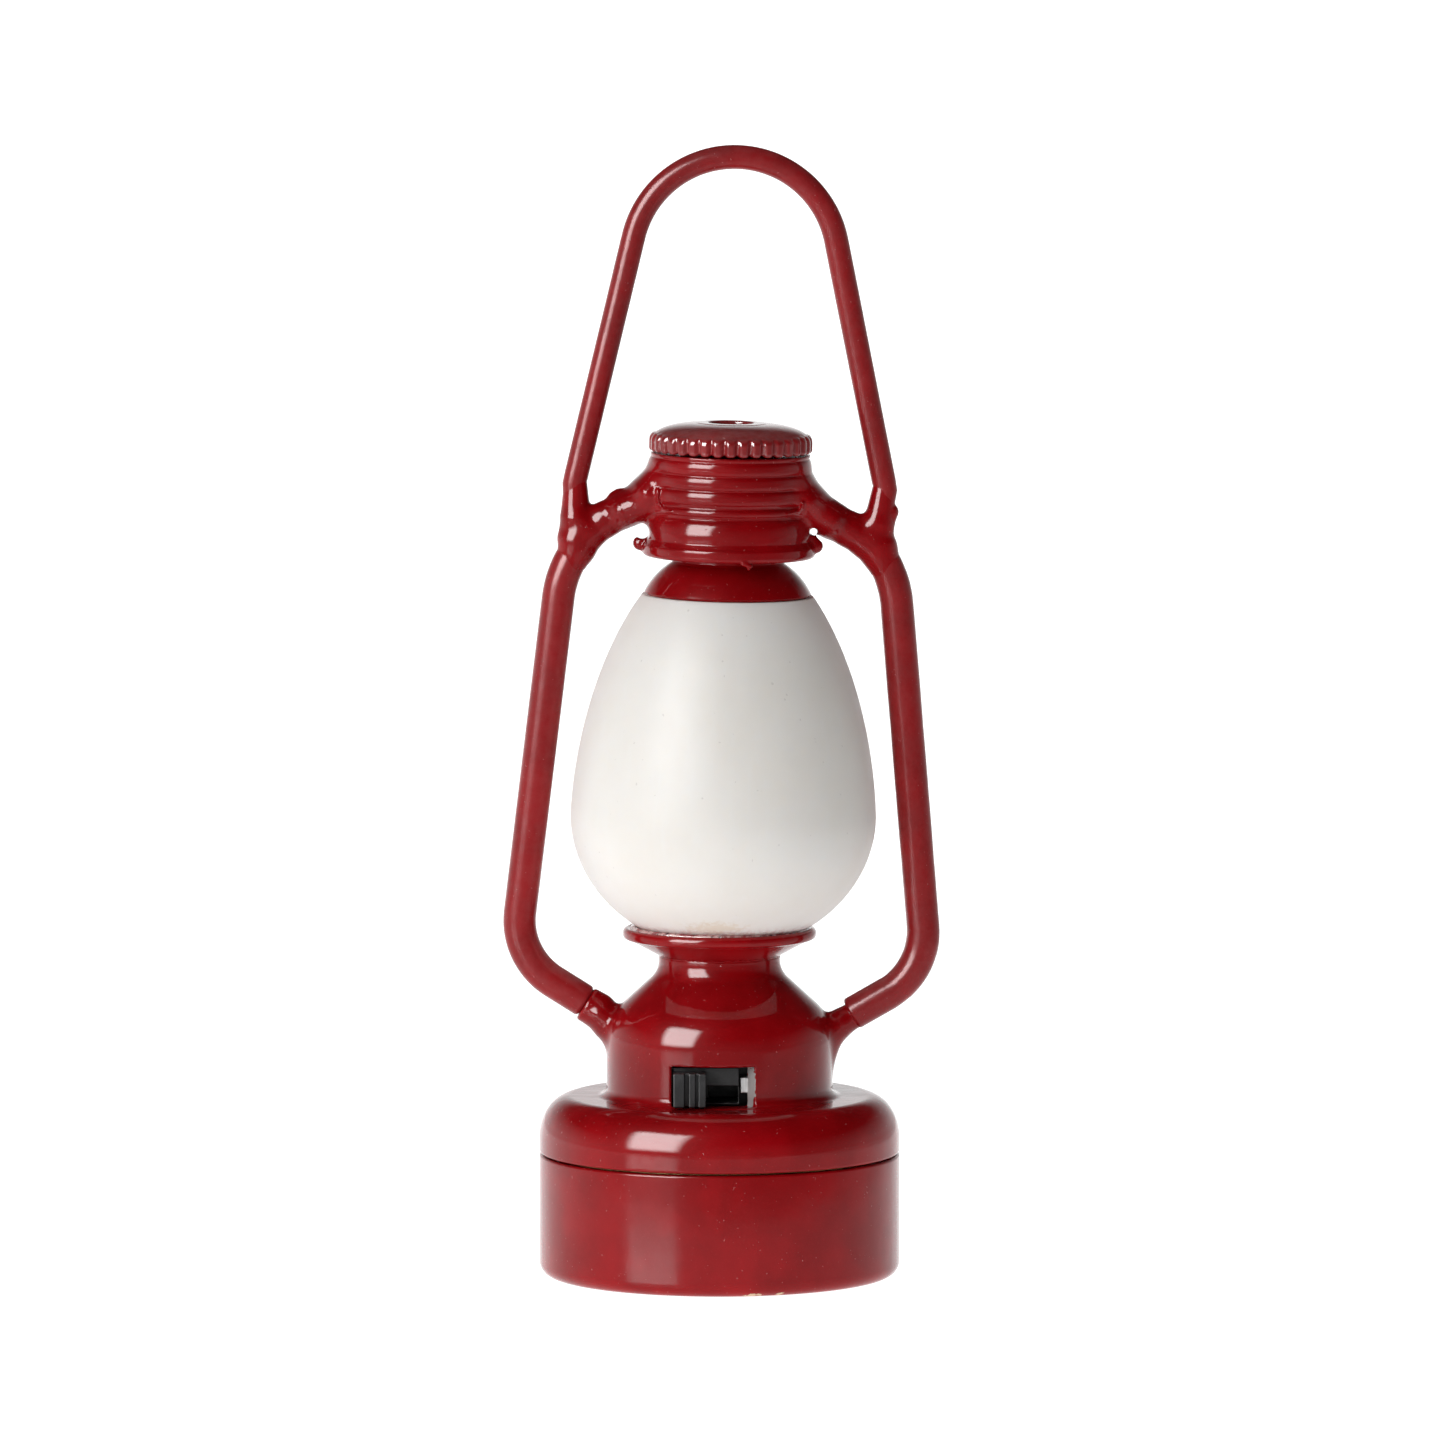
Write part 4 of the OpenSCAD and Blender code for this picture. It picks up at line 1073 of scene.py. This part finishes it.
def blocks(add, cut, edge):
    """A field of rounded boxes, each given by its lowest and highest corner."""
    def field(p):
        d = np.full(len(p), 1e9)
        for low, high in add:
            d = np.minimum(d, box_distance(p, low, high, edge))
        for low, high in cut:
            d = smooth_max(d, -box_distance(p, low, high, edge / 2), edge)
        return d
    return field


SWITCH_X = (-3.9, 3.25)
SWITCH_Z = (10.95, 13.85)
SWITCH_BACK_Y = -1.8
NOSE_Y = -6.0
NOSE_X = (WINDOW_LOW[0] + 0.1, 1.2)
LEVER_X = WINDOW_LOW[0] + 0.12
LEVER_W = 2.0
LEVER_FRONT_Y = -7.7
PLATE_T = 0.25
PLATE_GAP = 0.04
PLATE_BACK_Y = -1.51


def make_switch_housing():
    """The moulded block, with a nose that reaches into the window, a slot for the lever and a hollow."""
    low_z, high_z = WINDOW_LOW[1] + 0.1, WINDOW_HIGH[1] - 0.1
    solid = [
        ((SWITCH_X[0], -4.25, SWITCH_Z[0]), (SWITCH_X[1], SWITCH_BACK_Y, SWITCH_Z[1])),
        ((NOSE_X[0], NOSE_Y, low_z), (NOSE_X[1], -4.1, high_z)),
    ]
    hollow = [
        ((NOSE_X[0] + 0.15, NOSE_Y - 1, 11.42), (NOSE_X[1] - 0.05, -4, 12.45)),
        ((-3.5, -4.1, 11.3), (2.75, -2.3, 13.4)),
    ]
    shape = skin(blocks(solid, hollow, 0.05), (-4.1, -6.2, 10.75), (3.45, -1.6, 14.05), 0.06)
    piece("switch_body", shape, BLACK, "lantern", ["switch_housing"])


def make_switch_lever():
    """The lever: a knob with two grooves, its stem, and the foot that holds it in the block."""
    x = LEVER_X
    low_z, high_z = WINDOW_LOW[1], WINDOW_HIGH[1]
    solid = [
        ((x, LEVER_FRONT_Y, low_z + 0.12), (x + LEVER_W, NOSE_Y - 0.06, high_z - 0.3)),
        ((x + 0.2, NOSE_Y - 0.1, 11.5), (x + LEVER_W - 0.2, -3.7, 12.4)),
        ((x - 0.15, -4, 11.4), (x + LEVER_W + 0.15, -3.4, 13.2)),
    ]
    grooves = [
        ((x + 0.68, LEVER_FRONT_Y - 0.3, low_z - 1), (x + 0.96, LEVER_FRONT_Y + 0.55, high_z + 1)),
        ((x + 1.36, LEVER_FRONT_Y - 0.3, low_z - 1), (x + 1.54, LEVER_FRONT_Y + 0.35, high_z + 1)),
    ]
    field = blocks(solid, grooves, 0.06)
    shape = skin(field, (x - 0.35, -7.9, 11.1), (x + LEVER_W + 0.35, -3.2, 13.6), 0.045)
    piece("switch_lever_knob", shape, BLACK, "switch_slider", ["switch_lever"])


def make_switch_frame():
    """The bent steel plate that wraps the block and shows in the window, right of the lever."""
    far = PLATE_T + PLATE_GAP
    left, right = SWITCH_X[0] - far, SWITCH_X[1] + far
    tab_z = (12, 12.95)
    solid = [
        ((left, PLATE_BACK_Y - PLATE_T, SWITCH_Z[0]), (right, PLATE_BACK_Y, SWITCH_Z[1])),
        ((left, -3.95, 11.6), (SWITCH_X[0] - PLATE_GAP, PLATE_BACK_Y, 13.2)),
        ((SWITCH_X[1] + PLATE_GAP, -4.35, tab_z[0]), (right, PLATE_BACK_Y, tab_z[1])),
        ((1.28, -4.54, tab_z[0]), (right, -4.29, tab_z[1])),
        ((1.28, -5.75, tab_z[0]), (1.78, -4.29, tab_z[1])),
    ]
    opening = [((-2.3, -3, 11.8), (1.7, -1, 12.6))]
    shape = skin(blocks(solid, opening, 0.04), (-4.4, -5.95, 10.75), (3.75, -1.3, 14.05), 0.06)
    piece("switch_frame_steel", shape, STEEL, "lantern", ["switch_frame"])


# ---- hidden CAD nodes

HIDDEN = {
    "contact_plate": BRASS, "contact_spring": STEEL, "cell_sleeve": WHITE, "cell_can": NICKEL,
    "cell_gasket": RUBBER, "cell_cap": NICKEL, "threaded_ring": BRASS, "contact_board": BOARD,
    "positive_contact": BRASS, "board_screws": STEEL, "resistor": RUBBER, "switch_terminals": STEEL,
    "switch_wiper": BRASS, "feed_wire": WIRE_RED, "lamp_wire": WIRE_RED, "return_wire": WIRE_BLACK,
    "led_holder": WHITE, "led_lens": LAMP, "led_leads": STEEL,
}


def paint_hidden():
    for name, material in HIDDEN.items():
        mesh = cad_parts[name].data
        mesh.materials.clear()
        mesh.materials.append(material)


make_base()
make_cover()
make_globe()
make_seal()
make_crown()
make_cap()
make_eyelet()
make_collar()
make_struts()
make_bail()
make_switch_housing()
make_switch_lever()
make_switch_frame()
paint_hidden()


# ---- floor, light and camera

FLOOR_HALF = 6.0
FLOOR_Z = -0.0002


def make_floor():
    """One level square, a hair below the cover."""
    corners = [(-1, -1), (1, -1), (1, 1), (-1, 1)]
    mesh = bpy.data.meshes.new("floor")
    points = [(x * FLOOR_HALF, y * FLOOR_HALF, FLOOR_Z) for x, y in corners]
    mesh.from_pydata(points, [], [(0, 1, 2, 3)])
    floor = bpy.data.objects.new("floor", mesh)
    floor.data.materials.append(floor_material())
    bpy.context.scene.collection.objects.link(floor)


def make_world():
    """A white studio: bright round the horizon, brightest behind, and dark overhead."""
    world = bpy.data.worlds.new("studio")
    bpy.context.scene.world = world
    world.use_nodes = True
    nodes, links = world.node_tree.nodes, world.node_tree.links
    background = nodes["Background"]
    direction = nodes.new("ShaderNodeTexCoord").outputs["Generated"]
    parts = nodes.new("ShaderNodeSeparateXYZ")
    links.new(direction, parts.inputs[0])
    height = nodes.new("ShaderNodeValToRGB")
    links.new(parts.outputs["Z"], height.inputs[0])
    ramp = height.color_ramp
    ramp.elements[0].position, ramp.elements[0].color = 0.10, (1, 1, 1, 1)
    ramp.elements[1].position, ramp.elements[1].color = 0.42, (0.02, 0.02, 0.02, 1)
    depth = nodes.new("ShaderNodeMapRange")
    links.new(parts.outputs["Y"], depth.inputs["Value"])
    set_span(depth, (-0.6, 0.3, 0.35, 1.15))
    links.new(height.outputs["Color"], background.inputs["Color"])
    beside = nodes.new("ShaderNodeMapRange")
    links.new(parts.outputs["X"], beside.inputs["Value"])
    set_span(beside, (0.0, 0.8, 1.0, 0.62))
    strength = nodes.new("ShaderNodeMath")
    strength.operation = "MULTIPLY"
    links.new(depth.outputs["Result"], strength.inputs[0])
    links.new(beside.outputs["Result"], strength.inputs[1])
    links.new(strength.outputs[0], background.inputs["Strength"])


CENTRE = Vector((0, 0, 0.032))
LIGHT_DISTANCE = 0.6


def soften(data, edge):
    """Makes an area light fade towards its edges, over a share of its width."""
    data.use_nodes = True
    nodes, links = data.node_tree.nodes, data.node_tree.links
    parts = nodes.new("ShaderNodeSeparateXYZ")
    links.new(nodes.new("ShaderNodeNewGeometry").outputs["Parametric"], parts.inputs[0])
    product = nodes.new("ShaderNodeMath")
    product.operation = "MULTIPLY"
    for axis, socket in zip("XY", product.inputs):
        away = nodes.new("ShaderNodeMath")
        away.operation = "PINGPONG"
        away.inputs[1].default_value = 0.5
        links.new(parts.outputs[axis], away.inputs[0])
        fade = nodes.new("ShaderNodeMapRange")
        fade.interpolation_type = "SMOOTHSTEP"
        fade.inputs["From Max"].default_value = edge
        links.new(away.outputs[0], fade.inputs["Value"])
        links.new(fade.outputs["Result"], socket)
    links.new(product.outputs[0], nodes["Emission"].inputs["Strength"])


def make_softbox(name, azimuth, elevation, width, height, radiance, edge, diffuse=True, glossy=True):
    """A rectangular area light. azimuth is measured from the front, positive to the right."""
    a, e = math.radians(azimuth), math.radians(elevation)
    away = Vector((math.sin(a) * math.cos(e), -math.cos(a) * math.cos(e), math.sin(e)))
    data = bpy.data.lights.new(name, "AREA")
    data.shape = "RECTANGLE"
    data.size, data.size_y = width, height
    data.energy = radiance * math.pi * width * height
    light = bpy.data.objects.new(name, data)
    light.location = CENTRE + away * LIGHT_DISTANCE
    light.rotation_euler = away.to_track_quat("Z", "Y").to_euler()
    light.visible_diffuse = diffuse
    light.visible_glossy = glossy
    light.visible_camera = False
    soften(data, edge)
    bpy.context.scene.collection.objects.link(light)


def make_camera():
    data = bpy.data.cameras.new("camera")
    data.sensor_width = 36.0
    data.lens = 371.0
    camera = bpy.data.objects.new("camera", data)
    camera.location = (0.000185, -0.914, 0.128)
    aim = Vector((0.000185, 0, 0.0343))
    camera.rotation_euler = (camera.location - aim).to_track_quat("Z", "Y").to_euler()
    bpy.context.scene.collection.objects.link(camera)
    bpy.context.scene.camera = camera


make_floor()
make_world()
make_softbox("key_gloss", -44, 24, 0.46, 0.52, 29.0, 0.2, diffuse=False)
make_softbox("key_soft", -38, 26, 0.54, 0.54, 2.25, 0.1, glossy=False)
make_softbox("top_soft", -30, 66, 0.5, 0.5, 1.0, 0.1, glossy=False)
make_camera()
bpy.context.scene.view_settings.view_transform = "Standard"
